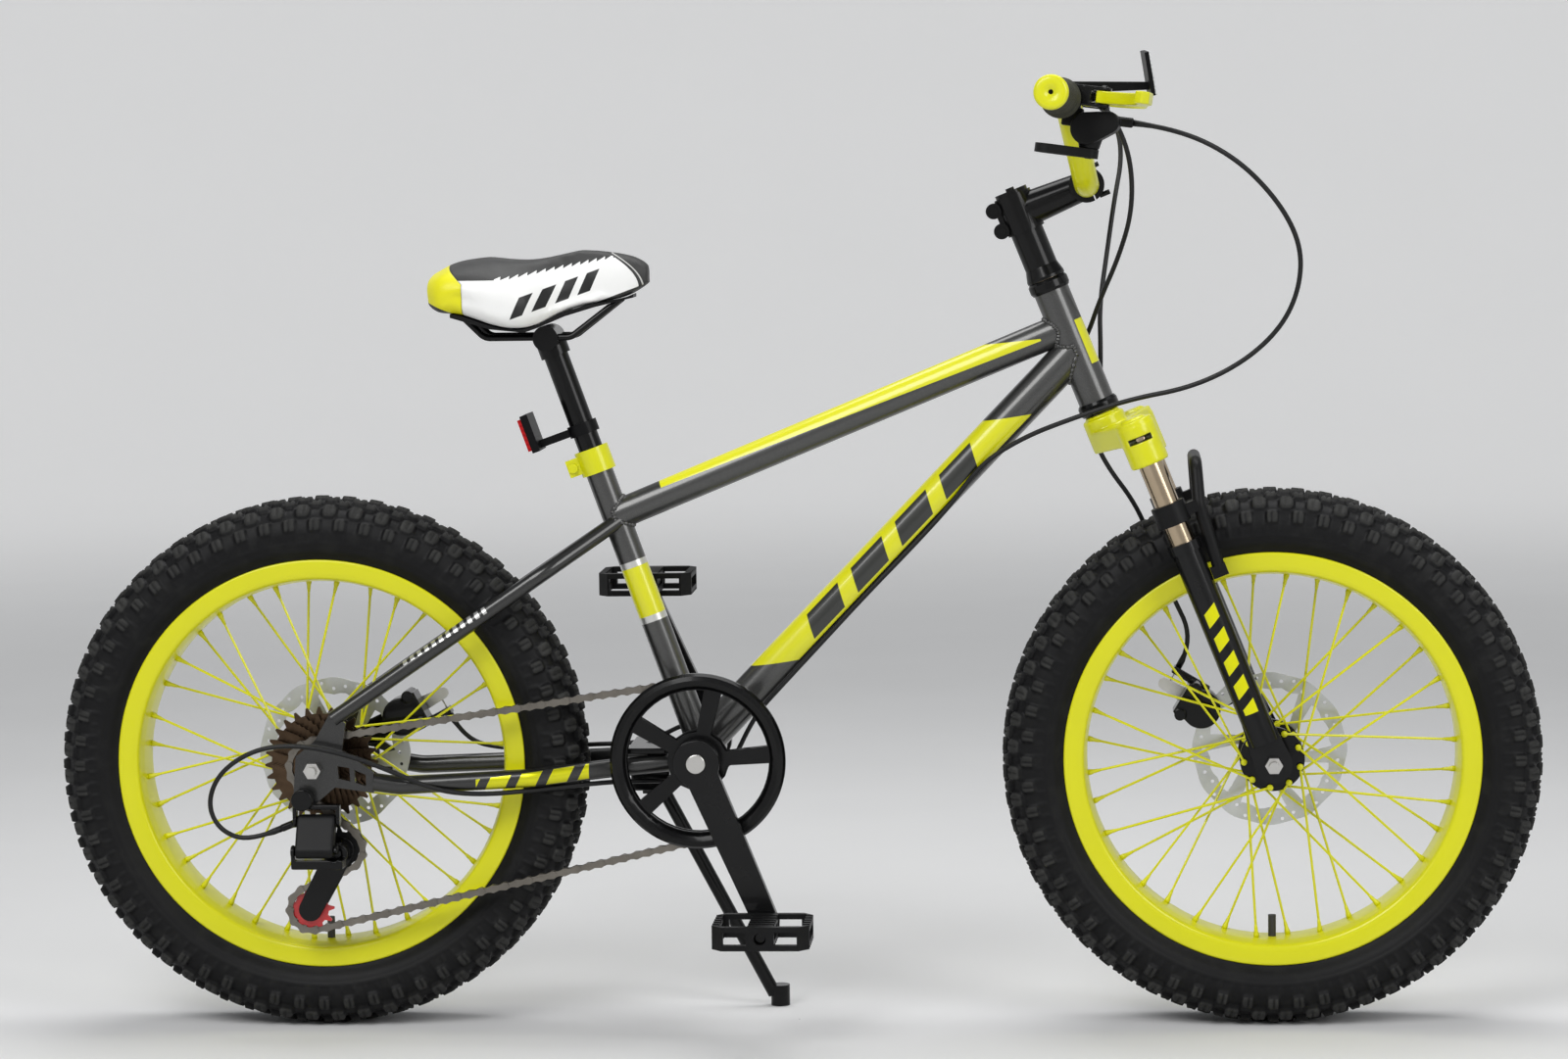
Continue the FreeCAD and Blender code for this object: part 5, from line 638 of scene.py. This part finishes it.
def disc_mesh(centre, seat):
    """A pressed disc cut from plate: wavy braking ring with drilled rows, and six raked arms to the boss."""
    sheet = bpy.data.curves.new("disc_sheet", "CURVE")
    sheet.dimensions = "2D"
    sheet.fill_mode = "BOTH"
    sheet.extrude = 1.0 * MM

    def outline(points):
        line = sheet.splines.new("POLY")
        line.points.add(len(points) - 1)
        flat = np.column_stack([points * MM, np.zeros(len(points)), np.ones(len(points))])
        line.points.foreach_set("co", flat.reshape(-1))
        line.use_cyclic_u = True

    edge, wave, bore, arm_foot, arm_top, arm_wave = 79.2, 0.8, 12.3, 26.5, 63.0, 1.4
    hole_rows, hole_radius, bolt_circle, bolt_radius = (68.0, 74.5, 71.2), 1.9, 18.5, 1.8
    round_turn, hole_turn = full_turn(120), full_turn(10)
    outline(polar(edge + wave * np.cos(12 * round_turn), round_turn))
    outline(polar(bore, round_turn[::4]))
    for k in range(6):
        start = math.radians(60 * k)
        low = np.radians(np.linspace(-14, 28, 9)) + start
        high = np.radians(np.linspace(46, 2, 9)) + start
        top = arm_top + arm_wave * np.cos(18 * (high - start))
        outline(np.vstack([polar(arm_foot, low), polar(top, high)]))
    for k in range(36):
        outline(polar(hole_rows[k % 3], np.radians(10.0 * k)) + polar(hole_radius, hole_turn))
    for k in range(6):
        outline(polar(bolt_circle, math.radians(60 * k + 20)) + polar(bolt_radius, hole_turn))
    mesh = curve_mesh(sheet)
    mesh.transform(place_matrix(centre + np.array([0, (seat + 1.0) * MM, 0]), (1, 0, 0), (0, 0, 1),
                                (0, -1, 0)))
    return joined([mesh])


def brushed(name, low, high, grain):
    """Steel with fine drawn lines and faint tarnish."""
    finish = Finish(name, metallic=1.0)
    lines = finish.noise(grain, 4.0, (1.0, 0.15, 1.0))
    finish.set(base_color=finish.mottle(low, high, 35.0, 4.0), roughness=0.22 + lines * 0.22)
    return finish.bump(lines, 0.00008, 0.5)


disc_steel = brushed("disc_steel", (0.46, 0.47, 0.46, 1), (0.66, 0.67, 0.66, 1), 420.0)
bright_steel = brushed("nut_steel", (0.48, 0.47, 0.45, 1), (0.66, 0.65, 0.63, 1), 300.0)
BLACK_GLOSS = {"coat_weight": 0.12, "coat_roughness": 0.05, "specular_ior_level": 0.16}
black_gloss = coated("black_gloss_enamel", (0.002, 0.002, 0.0023, 1), grey(0.005), 22.0, 4.0, 0.16, 0.26,
                     **BLACK_GLOSS)
valve_rubber = coated("valve_rubber", (0.015, 0.015, 0.016, 1), grey(0.03), 90.0, 2.0, 0.5, 0.65)

for end, axle, right_flange, seat in (("front", FRONT_AXLE, 30.0, 45.0), ("rear", REAR_AXLE, 20.0, 47.0)):
    for title, mesh, finish, slot, replaced in (
            ("tire_tread", tire_mesh(axle), tire_rubber, "tire_rubber", ["tire"]),
            ("rim_rolled", rim_mesh(axle), rim_yellow, "yellow_paint", ["rim"]),
            ("spoke_ends", nipple_mesh(axle, right_flange), rim_yellow, "yellow_paint", []),
            ("disc_drilled", disc_mesh(axle, seat), disc_steel, "bright_steel", ["disc"])):
        dress(f"{end}_{title}", mesh, finish, f"{end}_wheel", [f"{end}_{name}" for name in replaced])
    for title, finish in (("spokes", rim_yellow), ("hub", black_gloss), ("axle", bright_steel),
                          ("inner_tube", valve_rubber)):
        wear(f"{end}_{title}", finish)


# Seat clamp, bearing cups and fork: a yellow collar pinched by its bolt, and black cups pressed into the
# frame. The sprung fork has a cast yellow crown, tinted chrome tubes pressed into it, and gloss black lower
# legs that slide on them, tied by a black arch.

CAD_SEAM, CAD_FLAT = 2e-6, 0.8


def modify(piece, title, kind, **settings):
    """Put a modifier on a piece."""
    made = piece.modifiers.new(title, kind)
    for key, setting in settings.items():
        setattr(made, key, setting)


def rounded_copy(name, finish, edge, segments=2, limit=32.0):
    """A CAD node's solid with its sharp edges rolled off, in place of the node."""
    mesh = joined([node[name].data], CAD_SEAM, CAD_FLAT, False)
    shade_smooth(mesh)
    piece = dress(f"{name}_cast", mesh, finish, carrier[name], [name])
    modify(piece, "rolled_edges", "BEVEL", width=edge * MM, segments=segments, limit_method="ANGLE",
           angle_limit=math.radians(limit), miter_outer="MITER_ARC", use_clamp_overlap=True)
    modify(piece, "even_shading", "WEIGHTED_NORMAL", keep_sharp=False)


def vertices(mesh, field="co"):
    rows = np.empty(len(mesh.vertices) * 3)
    mesh.vertices.foreach_get(field, rows)
    return rows.reshape(-1, 3)


def evaluated(piece):
    """The mesh that a piece's modifiers give."""
    return bpy.data.meshes.new_from_object(piece.evaluated_get(bpy.context.evaluated_depsgraph_get()))


def even_cells(name, cell, rounds):
    """A CAD node's solids merged into one skin of even cells, with corners eased by rounds of averaging."""
    blank = placed(f"{name}_blank", joined([node[name].data], CAD_SEAM, turn=False))
    modify(blank, "even_cells", "REMESH", mode="VOXEL", voxel_size=cell * MM)
    modify(blank, "eased_corners", "SMOOTH", iterations=rounds)
    mesh = evaluated(blank)
    bpy.data.objects.remove(blank)
    shade_smooth(mesh)
    return mesh


def cast_copy(name, finish, cell, rounds):
    """A casting with soft corners in place of a CAD node."""
    dress(f"{name}_cast", even_cells(name, cell, rounds), finish, carrier[name], [name])


ENAMEL = {"coat_weight": 0.35, "coat_roughness": 0.1, "specular_ior_level": 0.35}
YELLOW_LOW, YELLOW_HIGH = (0.64, 0.64, 0.002, 1), (0.70, 0.70, 0.003, 1)
yellow_enamel = coated("yellow_enamel", YELLOW_LOW, YELLOW_HIGH, 16.0, 3.0, 0.28, 0.4, **ENAMEL)
black_plastic = Finish("black_moulded_plastic", specular_ior_level=0.16)
grain = black_plastic.noise(1200.0, 2.0)
black_plastic.set(base_color=black_plastic.mottle((0.003, 0.003, 0.0035, 1), grey(0.009), 40.0, 4.0),
                  roughness=0.36 + grain * 0.16)
black_plastic.bump(grain, 0.00012, 0.5)
tinted_chrome = Finish("tinted_chrome", metallic=1.0)
tinted_chrome.set(base_color=tinted_chrome.mottle((0.34, 0.26, 0.17, 1), (0.50, 0.41, 0.30, 1), 18.0),
                  roughness=0.1 + tinted_chrome.noise(220.0, 3.0, (1, 1, 0.2)) * 0.14)
LEG_DASHES, LEG_DASH_PITCH, LEG_DASH_SPAN = (0.058, 0.178), 0.026, (0.0205, 0.0345)
leg_paint = Finish("leg_gloss_black", **BLACK_GLOSS).set(coat_weight=0.15)
leg_up, leg_ahead = steer_places(leg_paint)
leg_mark = band(leg_paint, leg_up, *LEG_DASHES) * (sawtooth(leg_up - leg_ahead * 0.6, LEG_DASH_PITCH) > 0.42)
leg_mark = leg_mark * (abs(leg_paint.along(LEFT)) > 0.078) * band(leg_paint, leg_ahead, *LEG_DASH_SPAN)
leg_dark = leg_paint.mottle((0.003, 0.003, 0.0035, 1), grey(0.008), 20.0)
wear_finish(leg_paint, leg_paint.mix(leg_mark, leg_dark, YELLOW), 0.18, 0.28)

rounded_copy("seat_clamp", yellow_enamel, 1.2)
wear("bearing_cups", black_gloss)
# The slot in each outer side of the crown is painted dark olive: painted shade in its recess.
SLOT_SHADE_UP, SLOT_SHADE_AHEAD = (0.3534, 0.3596), (0.0158, 0.0402)
crown_yellow = Finish("crown_yellow_enamel", **ENAMEL)
crown_up, crown_ahead = steer_places(crown_yellow)
slot_shade = band(crown_yellow, crown_up, *SLOT_SHADE_UP) * band(crown_yellow, crown_ahead, *SLOT_SHADE_AHEAD)
slot_shade = slot_shade * (abs(crown_yellow.along(LEFT)) > 0.076)
crown_skin = crown_yellow.mottle(YELLOW_LOW, YELLOW_HIGH, 16.0)
wear_finish(crown_yellow, crown_yellow.mix(slot_shade, crown_skin, (0.03, 0.032, 0.004, 1)), 0.28, 0.4)
cast_copy("fork_crown", crown_yellow, 1.3, 7)
wear("fork_upper_tubes", tinted_chrome)


def bridging(name, mesh, finish, start, end, replaced=()):
    """A piece in one finish whose placement is baked into its mesh; start and end are not used."""
    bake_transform(shown(name, mesh, finish, replaced))


springs = node["fork_elastomers"].data.copy()
spring_up = (vertices(springs) - STEER_FOOT) @ STEER_UP / MM
bridging("fork_springs", springs, valve_rubber,
         on_steer(0, 0, spring_up.max()), on_steer(0, 0, spring_up.min()), ["fork_elastomers"])
wear("fork_legs", leg_paint)
rounded_copy("fork_arch", black_plastic, 1.5)


# Cockpit: a black alloy stem clamped over its spacers holds a bent yellow riser bar. Moulded rubber grips are
# pushed over its ends, and the brake levers, thumb shifter and clear reflector are clamped round it.

wear("headset_spacers", black_gloss)
rounded_copy("stem", black_gloss, 1.2)
wear("handlebar", yellow_enamel)
cast_copy("brake_lever_brackets", black_gloss, 0.9, 5)
rounded_copy("brake_lever_right", yellow_enamel, 3.0, 4)
rounded_copy("brake_lever_left", yellow_enamel, 3.0, 4)
cast_copy("gear_shifter", black_plastic, 0.9, 6)
rounded_copy("shift_lever", black_plastic, 2.0, 3)
HAND_ROOT = np.array([0.287401, -0.120, 0.943859])
HAND_OUT = np.array([-0.08023, -0.99547, 0.05098])
HAND_UP = np.array([0.13906, 0.03947, 0.98950])
HAND_AHEAD = np.array([0.98703, -0.08648, -0.13526])
MIRROR = np.array([1.0, -1.0, 1.0])
CLIP_TILT, PLATE_LEAN, CLIP_PLACE = math.radians(8), math.radians(9), 20.0
clip_ahead = HAND_AHEAD * math.cos(CLIP_TILT) + HAND_UP * math.sin(CLIP_TILT)
clip_up = HAND_UP * math.cos(CLIP_TILT) - HAND_AHEAD * math.sin(CLIP_TILT)
plate_face = (clip_ahead * math.cos(PLATE_LEAN) + clip_up * math.sin(PLATE_LEAN)) * MIRROR
plate_corner = (HAND_ROOT + (HAND_OUT * CLIP_PLACE + clip_ahead * 86 + clip_up * 6) * MM) * MIRROR


def prism_lens(name, backing, front, face, corner, depth, cell):
    """Moulded housing whose front face is a lens of small square prisms, raised in relief; each prism's faces
    are painted from the darker to the lighter front tone, painted glints on the facets.
    """
    finish = Finish(name, coat_weight=0.05, coat_roughness=0.1, specular_ior_level=0.12)
    lens = finish.along(face, corner) > depth
    side_run = finish.along(unit(*np.cross(face, STEER_UP)), corner)
    up_run = finish.along((0, 0, 1), corner)
    prism_relief_and_glint = sum(run.math("PINGPONG", run, cell) for run in (side_run, up_run)) / (2 * cell)
    finish.set(base_color=finish.mix(lens, backing, finish.mix(prism_relief_and_glint, *front)),
               roughness=0.42 - lens * 0.26 + finish.noise(300.0) * 0.08)
    return finish.bump(prism_relief_and_glint * lens, 0.0012, 0.8)


# The clear lens is painted grey to near white across its prisms: painted reflections in the clear facets.
clear_lens = prism_lens("clear_reflector", (0.002, 0.002, 0.0025, 1),
                        ((0.42, 0.43, 0.44, 1), (0.80, 0.81, 0.82, 1)),
                        plate_face, plate_corner, 0.0045, 0.0022)
rounded_copy("front_reflector", clear_lens, 0.8)


def turned(profile, centre, axis, segments=48):
    """A lathe piece: (radius, place along the axis) pairs in mm, turned about the axis."""
    profile = np.asarray(profile, dtype=float) * MM
    axis = unit(*axis)
    first = unit(*np.cross(axis, (0.3, 0.2, 0.9)))
    second = np.cross(axis, first)
    angle = full_turn(segments)
    ring = np.cos(angle)[:, None] * first + np.sin(angle)[:, None] * second
    return centre + profile[None, :, :1] * ring[:, None, :] + profile[None, :, 1:] * axis


grip_rubber = Finish("grip_rubber", specular_ior_level=0.3)
grip_grain = grip_rubber.noise(700.0, 3.0)
grip_rubber.set(base_color=grip_rubber.mottle((0.020, 0.020, 0.014, 1), (0.045, 0.045, 0.03, 1), 50.0, 4.0),
                roughness=0.55 + grip_grain * 0.2)
grip_rubber.bump(grip_grain, 0.0002, 0.6)
GRIP_END, RIB_FROM, RIB_TO, RIB_PITCH = 168.8, 80, 162, 5.4
ribs = np.arange(RIB_FROM, RIB_TO, 0.5)
rib_radius = 16.0 + 0.9 * np.clip(np.sin((ribs - RIB_FROM) * 2 * math.pi / RIB_PITCH) * 2, -1, 1)
sleeve = [(12.9, GRIP_END - 99.5), (19.6, GRIP_END - 99.5), (20.0, GRIP_END - 98.5), (20.0, GRIP_END - 96),
          (19.0, GRIP_END - 95), *zip(rib_radius, ribs), (16.6, 163), (16.8, GRIP_END - 2.5),
          (12.9, GRIP_END - 2.5)]
plug = [(0.01, GRIP_END + 0.9), (2.0, GRIP_END + 0.9), (2.5, GRIP_END + 3.4), (13.5, GRIP_END + 3.9),
        (16.2, GRIP_END + 2.6), (17.0, GRIP_END + 0.6), (17.0, GRIP_END - 2.2), (0.01, GRIP_END - 2.2)]
for side, mirror, replaced in (("right", np.ones(3), ["handlebar_grips"]), ("left", MIRROR, [])):
    plug_yellow = Finish(f"plug_yellow_{side}", **ENAMEL)
    # The plug's centre hole is painted near black: painted shade in its recess.
    hole_shade = plug_yellow.away(HAND_OUT * mirror, HAND_ROOT * mirror) < 0.0024
    wear_finish(plug_yellow, plug_yellow.mix(hole_shade, (0.68, 0.68, 0.003, 1), (0.01, 0.01, 0.004, 1)), 0.3, 0.42)
    for title, profile, finish, slot, stands_for in (
            (f"grip_{side}", sleeve, grip_rubber, "soft_rubber", replaced),
            (f"grip_plug_{side}", plug, plug_yellow, "yellow_paint", [])):
        skin = grid_mesh(turned(profile, HAND_ROOT, HAND_OUT) * mirror, True, True)
        dress(title, joined([skin]), finish, "steering", stands_for)


# Saddle: a foam pad under sewn vinyl panels, glued to a moulded shell. Bent steel rails under the shell are
# clamped to a black steel post, and a strap round the post carries a red reflector.

wear("seatpost", black_gloss)
rounded_copy("saddle_rails", black_gloss, 0.8)
wear("saddle_shell", black_plastic)
SEAT_AHEAD = np.array([0.94264, 0.0, 0.33381])
band_place = CRANK + SEAT_UP * 0.351
# The red is the lens's own tint; its brighter prism faces are painted glints.
red_lens = prism_lens("red_reflector", (0.002, 0.002, 0.0025, 1),
                      ((0.22, 0.002, 0.004, 1), (0.62, 0.012, 0.014, 1)),
                      -SEAT_AHEAD, band_place, 0.0550, 0.0024)
rounded_copy("rear_reflector", red_lens, 1.0)

vinyl = Finish("saddle_vinyl", specular_ior_level=0.35)
run, rise = vinyl.along((1, 0, 0)), vinyl.along((0, 0, 1))


def over(value):
    """The value where it is above zero, and zero elsewhere."""
    return value.math("MAXIMUM", value, 0.0)


SHOULDER_HEIGHT, SHOULDER_BREAK, SHOULDER_SLOPE = 0.7728, 0.283, 0.19
TOOTH_PITCH, TOOTH_HEIGHT, TOOTH_FROM = 0.0085, 0.0036, -0.295
NOSE_SEAM, NOSE_BEND, NOSE_CURVE, TAIL_SEAM, TAIL_BEND = -0.1525, 0.762, 25.0, -0.3280, 0.769
MARK_SPAN, MARK_PITCH, MARK_BAND = (-0.2740, -0.2085), 0.0181, (0.8305, 0.8495)
shoulder = SHOULDER_HEIGHT + over(run + SHOULDER_BREAK) * SHOULDER_SLOPE
tooth = sawtooth(run, TOOTH_PITCH) * TOOTH_HEIGHT * (run > TOOTH_FROM)
nose_edge = run + over(rise - NOSE_BEND) * over(rise - NOSE_BEND) * NOSE_CURVE
tail_edge = run + over(rise - TAIL_BEND)
under_nose = 0.7634 + (run + 0.1532) * 0.364
white = (rise < shoulder + tooth) * (nose_edge < NOSE_SEAM) * (tail_edge > TAIL_SEAM)
white = white * (rise > under_nose - (run < -0.24))
tail = (tail_edge < -0.3285) * (rise > 0.7338 - (run + 0.3273) * 0.44)
leaning = run - (rise - 0.745) * 0.44
marks = white * band(vinyl, leaning, *MARK_SPAN) * (sawtooth(leaning - MARK_SPAN[0], MARK_PITCH) < 0.6)
marks = marks * band(vinyl, rise - run * 0.35, *MARK_BAND, 0.0003)
piping = band(vinyl, nose_edge, -0.1490, -0.1474, 0.0002) * (rise < shoulder + 0.006) * (rise > under_nose)
seam = 1 - (band(vinyl, tail_edge, -0.3292, -0.3272, 0.0005)
            + band(vinyl, nose_edge, -0.1533, -0.1515, 0.0004)) * 0.9
grain_cells = vinyl.add("ShaderNodeTexVoronoi", {"feature": "DISTANCE_TO_EDGE"},
                        {"Vector": vinyl.where, "Scale": 520.0})
leather = vinyl.mottle(grey(0.022), (0.048, 0.048, 0.047, 1), 70.0, 4.0)
pad_colour = vinyl.mix(white, leather, vinyl.mottle((0.82, 0.82, 0.80, 1), (0.87, 0.87, 0.86, 1), 40.0))
pad_colour = vinyl.mix(tail, pad_colour, (0.76, 0.72, 0.012, 1))
pad_colour = vinyl.mix(marks, pad_colour, grey(0.012))
pad_colour = vinyl.mix(piping, pad_colour, (0.55, 0.55, 0.53, 1))
smooth_panel = white + tail
vinyl.set(base_color=pad_colour, roughness=0.46 - smooth_panel * 0.12 + vinyl.noise(220.0) * 0.1)
vinyl.bump(grain_cells * (1 - smooth_panel * 0.7) * 0.6 + seam * 1.4, 0.0007, 0.6)

SEAT_CELL, SEAT_ROUNDS, SEAT_SLACK, SEAT_SWELL = 4.0, 9, 0.001, 0.009
FOAM_PRESSURE, FOAM_STEPS, FACING_DOWN = 8.0, 20, -0.3
pad_mesh = even_cells("saddle_cover", SEAT_CELL, SEAT_ROUNDS)
normals = vertices(pad_mesh, "normal")
slack = vertices(pad_mesh) - SEAT_SLACK * normals
pad_mesh.vertices.foreach_set("co", slack.reshape(-1))
pad_mesh.update()
filled = slack + SEAT_SLACK * normals
skin = placed("saddle_pad_skin", pad_mesh.copy())
cloth = skin.modifiers.new("foam_pressure", "CLOTH")
cloth.settings.use_pressure = True
cloth.settings.uniform_pressure_force = FOAM_PRESSURE
cloth.settings.effector_weights.gravity = 0.0
for step in range(1, FOAM_STEPS + 1):
    bpy.context.scene.frame_set(step)
swollen = vertices(evaluated(skin))
bpy.context.scene.frame_set(1)
bpy.data.objects.remove(skin)
push = swollen - slack
limit = np.where(normals[:, 2] < FACING_DOWN, SEAT_SLACK, SEAT_SWELL)
filled = slack + push * np.minimum(1.0, limit / np.maximum(np.linalg.norm(push, axis=1), 1e-9))[:, None]
pad_mesh.vertices.foreach_set("co", filled.reshape(-1))
pad_mesh.update()
saddle_pad = dress("saddle_pad", pad_mesh, vinyl, "seatpost", ["saddle_cover"])
modify(saddle_pad, "even_foam", "SMOOTH", iterations=4)
modify(saddle_pad, "finer_cells", "SUBSURF", levels=1, render_levels=1)


# Drive: a black three-piece crank with a spoked guard, turning in the frame's shell, and moulded cage
# pedals. The chain is riveted from stamped steel plates, pins and rollers; the sprockets are stamped steel.

chain_steel = brushed("chain_steel", (0.11, 0.10, 0.086, 1), (0.26, 0.24, 0.21, 1), 500.0)
sprocket_steel = brushed("sprocket_steel", (0.035, 0.024, 0.016, 1), (0.12, 0.078, 0.048, 1), 300.0)
crank_black = Finish("crank_gloss_black", **BLACK_GLOSS)
BOLT_RADIUS, BOLT_FACE = 0.0103, 0.0922
bolt = (crank_black.away(LEFT, CRANK) < BOLT_RADIUS) * (abs(crank_black.along(LEFT)) > BOLT_FACE)
crank_dark = crank_black.mottle((0.003, 0.003, 0.0035, 1), grey(0.008), 22.0, 4.0)
crank_black.set(base_color=crank_black.mix(bolt, crank_dark, (0.55, 0.54, 0.52, 1)), metallic=bolt,
                roughness=0.2 + crank_black.noise(60.0, 3.0) * 0.1)
crank_black.bump(crank_black.noise(700.0, 1.0), 0.00004, 0.35)
rounded_copy("crankset", crank_black, 1.6, 3)
wear("chainring", black_gloss)
rounded_copy("chain_guard", black_gloss, 1.0, 3)
wear("sprocket_cluster", sprocket_steel)
rounded_copy("pedal_right", black_plastic, 0.9)
rounded_copy("pedal_left", black_plastic, 0.9)

LINKS, PITCH, ROLLER, PIN_SHARE = 108, 12.7, 3.85, 0.47
boxes = vertices(node["chain"].data).reshape(LINKS, 3, -1, 3)
joints = boxes[:, 2].mean(axis=1)
steps = np.roll(joints, -1, 0) - joints
along_link = unit_rows(steps)
up_link = np.cross(along_link, LEFT)


def plate_outline(length, lobe, waist):
    """Waisted outline of a link plate in mm: an arc round each joint, drawn in at mid length."""
    rear = polar(lobe, np.radians(np.linspace(62, 298, 9)))
    front = np.array([length, 0.0]) - rear
    return np.vstack([rear, [(length / 2, -waist)], front, [(length / 2, waist)]])


def stamped(outline, low, high):
    """A flat stamping: its outline at two levels, each drawn in to the middle; (x, z, level) rows."""
    return capped(np.stack([np.column_stack([outline, np.full(len(outline), level)])
                            for level in (low, high)]))


def set_on_links(shapes, picked):
    """Carry a stamping to many links: joint + x along the link + z across it + level to the left."""
    shapes = shapes * MM
    return (joints[picked, None, None] + shapes[None, ..., :1] * along_link[picked, None, None]
            + shapes[None, ..., 1:2] * up_link[picked, None, None] + shapes[None, ..., 2:] * LEFT)


outer, inner = np.arange(0, LINKS, 2), np.arange(1, LINKS, 2)
wide, narrow = plate_outline(PITCH, 4.1, 2.7), plate_outline(PITCH, 3.8, 2.5)
round_roller = polar(ROLLER, full_turn(12))
stampings = [set_on_links(stamped(shape, low, low + 1.0), picked) for shape, low, picked in (
    (wide, 2.9, outer), (wide, -3.9, outer), (narrow, 1.75, inner), (narrow, -2.75, inner))]
pins = set_on_links(stamped(round_roller * PIN_SHARE, -4.2, 4.2), np.arange(LINKS))
rollers = set_on_links(stamped(round_roller, -1.6, 1.6), np.arange(LINKS))
chain_mesh = joined([grid_mesh(row, False, True) for row in stampings + [pins, rollers]])
shade_smooth(chain_mesh, False)
dress("chain_links", chain_mesh, chain_steel, "frame", ["chain"])


# Derailleur, brakes and stand: black cast knuckles on a stamped link and cage, bolted to the right dropout,
# with moulded jockey wheels. The calipers are castings with bright steel arms, bolted beside the discs, and
# the stand is a steel leg in a bracket bolted between the chain stays.

red_plastic = coated("red_moulded_plastic", (0.42, 0.008, 0.012, 1), (0.6, 0.02, 0.02, 1), 60.0, 3.0,
                     0.3, 0.45, coat_weight=0.4, coat_roughness=0.15)
for name in ("derailleur_body", "derailleur_knuckle", "kickstand_bracket"):
    cast_copy(name, black_gloss, 0.9, 8)
rounded_copy("derailleur_cage", black_gloss, 0.8)
cast_copy("derailleur_link", black_plastic, 1.3, 18)
for name in ("front_caliper", "rear_caliper"):
    cast_copy(name, black_gloss, 0.9, 6)
for name in ("front_caliper_arm", "rear_caliper_arm"):
    rounded_copy(name, bright_steel, 0.6)
wear("guide_pulley", black_plastic)
wear("tension_pulley", red_plastic)
rounded_copy("kickstand_leg", black_gloss, 1.0)


# Cables: steel wires in black plastic housings, run from the levers and the shifter along the down tube to
# the brakes and the derailleur. A ferrule caps each end, and bare wires are clamped to the caliper arms.

sheath = coated("cable_sheath", (0.005, 0.005, 0.006, 1), grey(0.012), 80.0, 3.0, 0.34, 0.46,
                specular_ior_level=0.3)


def clear_direction(path, count=600):
    """Of directions spread evenly over a sphere (each a golden-angle turn on from the last), the one that the
    path runs along least."""
    k = np.arange(count) + 0.5
    height, turned_by = 1 - 2 * k / count, k * math.pi * (1 + math.sqrt(5))
    choices = np.column_stack([polar(np.sqrt(1 - height ** 2), turned_by), height])
    return choices[abs(unit_rows(np.gradient(path, axis=0)) @ choices.T).max(0).argmin()]


def housing(points, radius=0.0025, ferrule=0.0034, ferrule_length=0.011):
    """A sheathed housing along the NURBS line through its route, with a wider ferrule at each end."""
    route = bpy.data.curves.new("route", "CURVE")
    route.dimensions = "3D"
    route.resolution_u = 8
    line = route.splines.new("NURBS")
    line.points.add(len(points) - 1)
    line.points.foreach_set("co", np.column_stack([points, np.ones(len(points))]).reshape(-1))
    line.order_u = 3
    line.use_endpoint_u = True
    path = vertices(curve_mesh(route))
    walked = distance_along(path)
    to_end = np.minimum(walked, walked[-1] - walked)
    size = radius + (ferrule - radius) * (1 - smoothstep(to_end, ferrule_length - 0.002, ferrule_length))
    skin = capped(carried(path, size, 12, hint=clear_direction(path)))
    return joined([grid_mesh(skin, False, True)])


ROUTE_STEP = 0.0001
REAR_BRAKE_ROUTE = [
    (3133, -1538, 9476), (3153, -1290, 9464), (3353, -1068, 9256), (3503, -868, 8856), (3513, -618, 8346),
    (3372, -220, 7869), (3172, 120, 7419), (3032, 340, 7009), (2792, 380, 6719), (2397, 210, 6278),
    (2087, 170, 5854), (1685, 150, 5408), (1227, 160, 4947), (783, 150, 4472), (325, 160, 4011),
    (-100, 170, 3587), (-570, 270, 3190), (-850, 330, 3110), (-1170, 430, 3050), (-1450, 530, 2900),
    (-1730, 570, 2820), (-2140, 600, 2810), (-2620, 680, 2775), (-3100, 720, 2745), (-3554, 758, 2836),
    (-3704, 758, 3119),
]
FRONT_BRAKE_ROUTE = [
    (3133, 1538, 9476), (3153, 1290, 9464), (3353, 1058, 9256), (3423, 858, 8896), (3333, 698, 8436),
    (3252, 520, 7889), (3172, 420, 7359), (3182, 370, 6909), (3172, 370, 6489), (3065, 340, 6092),
    (3222, 360, 5724), (3528, 470, 5308), (3705, 570, 4862), (3872, 620, 4390), (4128, 738, 3851),
    (3963, 738, 3576),
]
GEAR_ROUTE = [
    (3524, -1545, 9220), (3939, -1581, 9163), (4514, -1445, 8880), (4944, -1225, 8440), (5174, -1065, 8000),
    (5164, -965, 7570), (4984, -885, 7170), (4604, -805, 6820), (4084, -725, 6570), (3483, -550, 6453),
    (2883, -450, 6253), (2403, -300, 6063), (1963, -200, 5793), (1650, -150, 5372), (1240, -140, 4934),
    (783, -150, 4472), (338, -140, 3998), (-94, -130, 3539), (-408, -120, 3203), (-680, -120, 2630),
    (-1070, -150, 2530), (-1400, -300, 2550), (-1900, -450, 2565), (-2620, -660, 2512), (-3180, -740, 2475),
    (-3620, -870, 2540), (-4060, -930, 2750), (-4500, -980, 2930), (-5000, -1010, 3040),
    (-5450, -1000, 3000), (-5830, -980, 2760), (-5970, -950, 2430), (-5860, -920, 2150), (-5556, -900, 2025),
    (-5222, -900, 2160),
]
for name, points, far, start, end in (
        ("rear_brake_cable", REAR_BRAKE_ROUTE, "frame", 3, 8),
        ("gear_cable", GEAR_ROUTE, "frame", 0, 11),
        ("front_brake_cable", FRONT_BRAKE_ROUTE, "fork_lower", 8, 13)):
    line = np.array(points) * ROUTE_STEP
    bridging(f"{name}_housing", housing(line), sheath, line[start],
             line[end], [name])
for end, body, near, far in (
        ("rear", "frame", (-0.37429, 0.0758, 0.31912), (-0.37828, 0.0758, 0.32662)),
        ("front", "fork_lower", (0.3921, 0.0738, 0.35061), (0.38772, 0.0738, 0.34332))):
    wire = joined([stub(np.array(near), np.array(far), np.full(5, 0.0008))])
    bridging(f"{end}_brake_wire", wire, bright_steel, near, far)
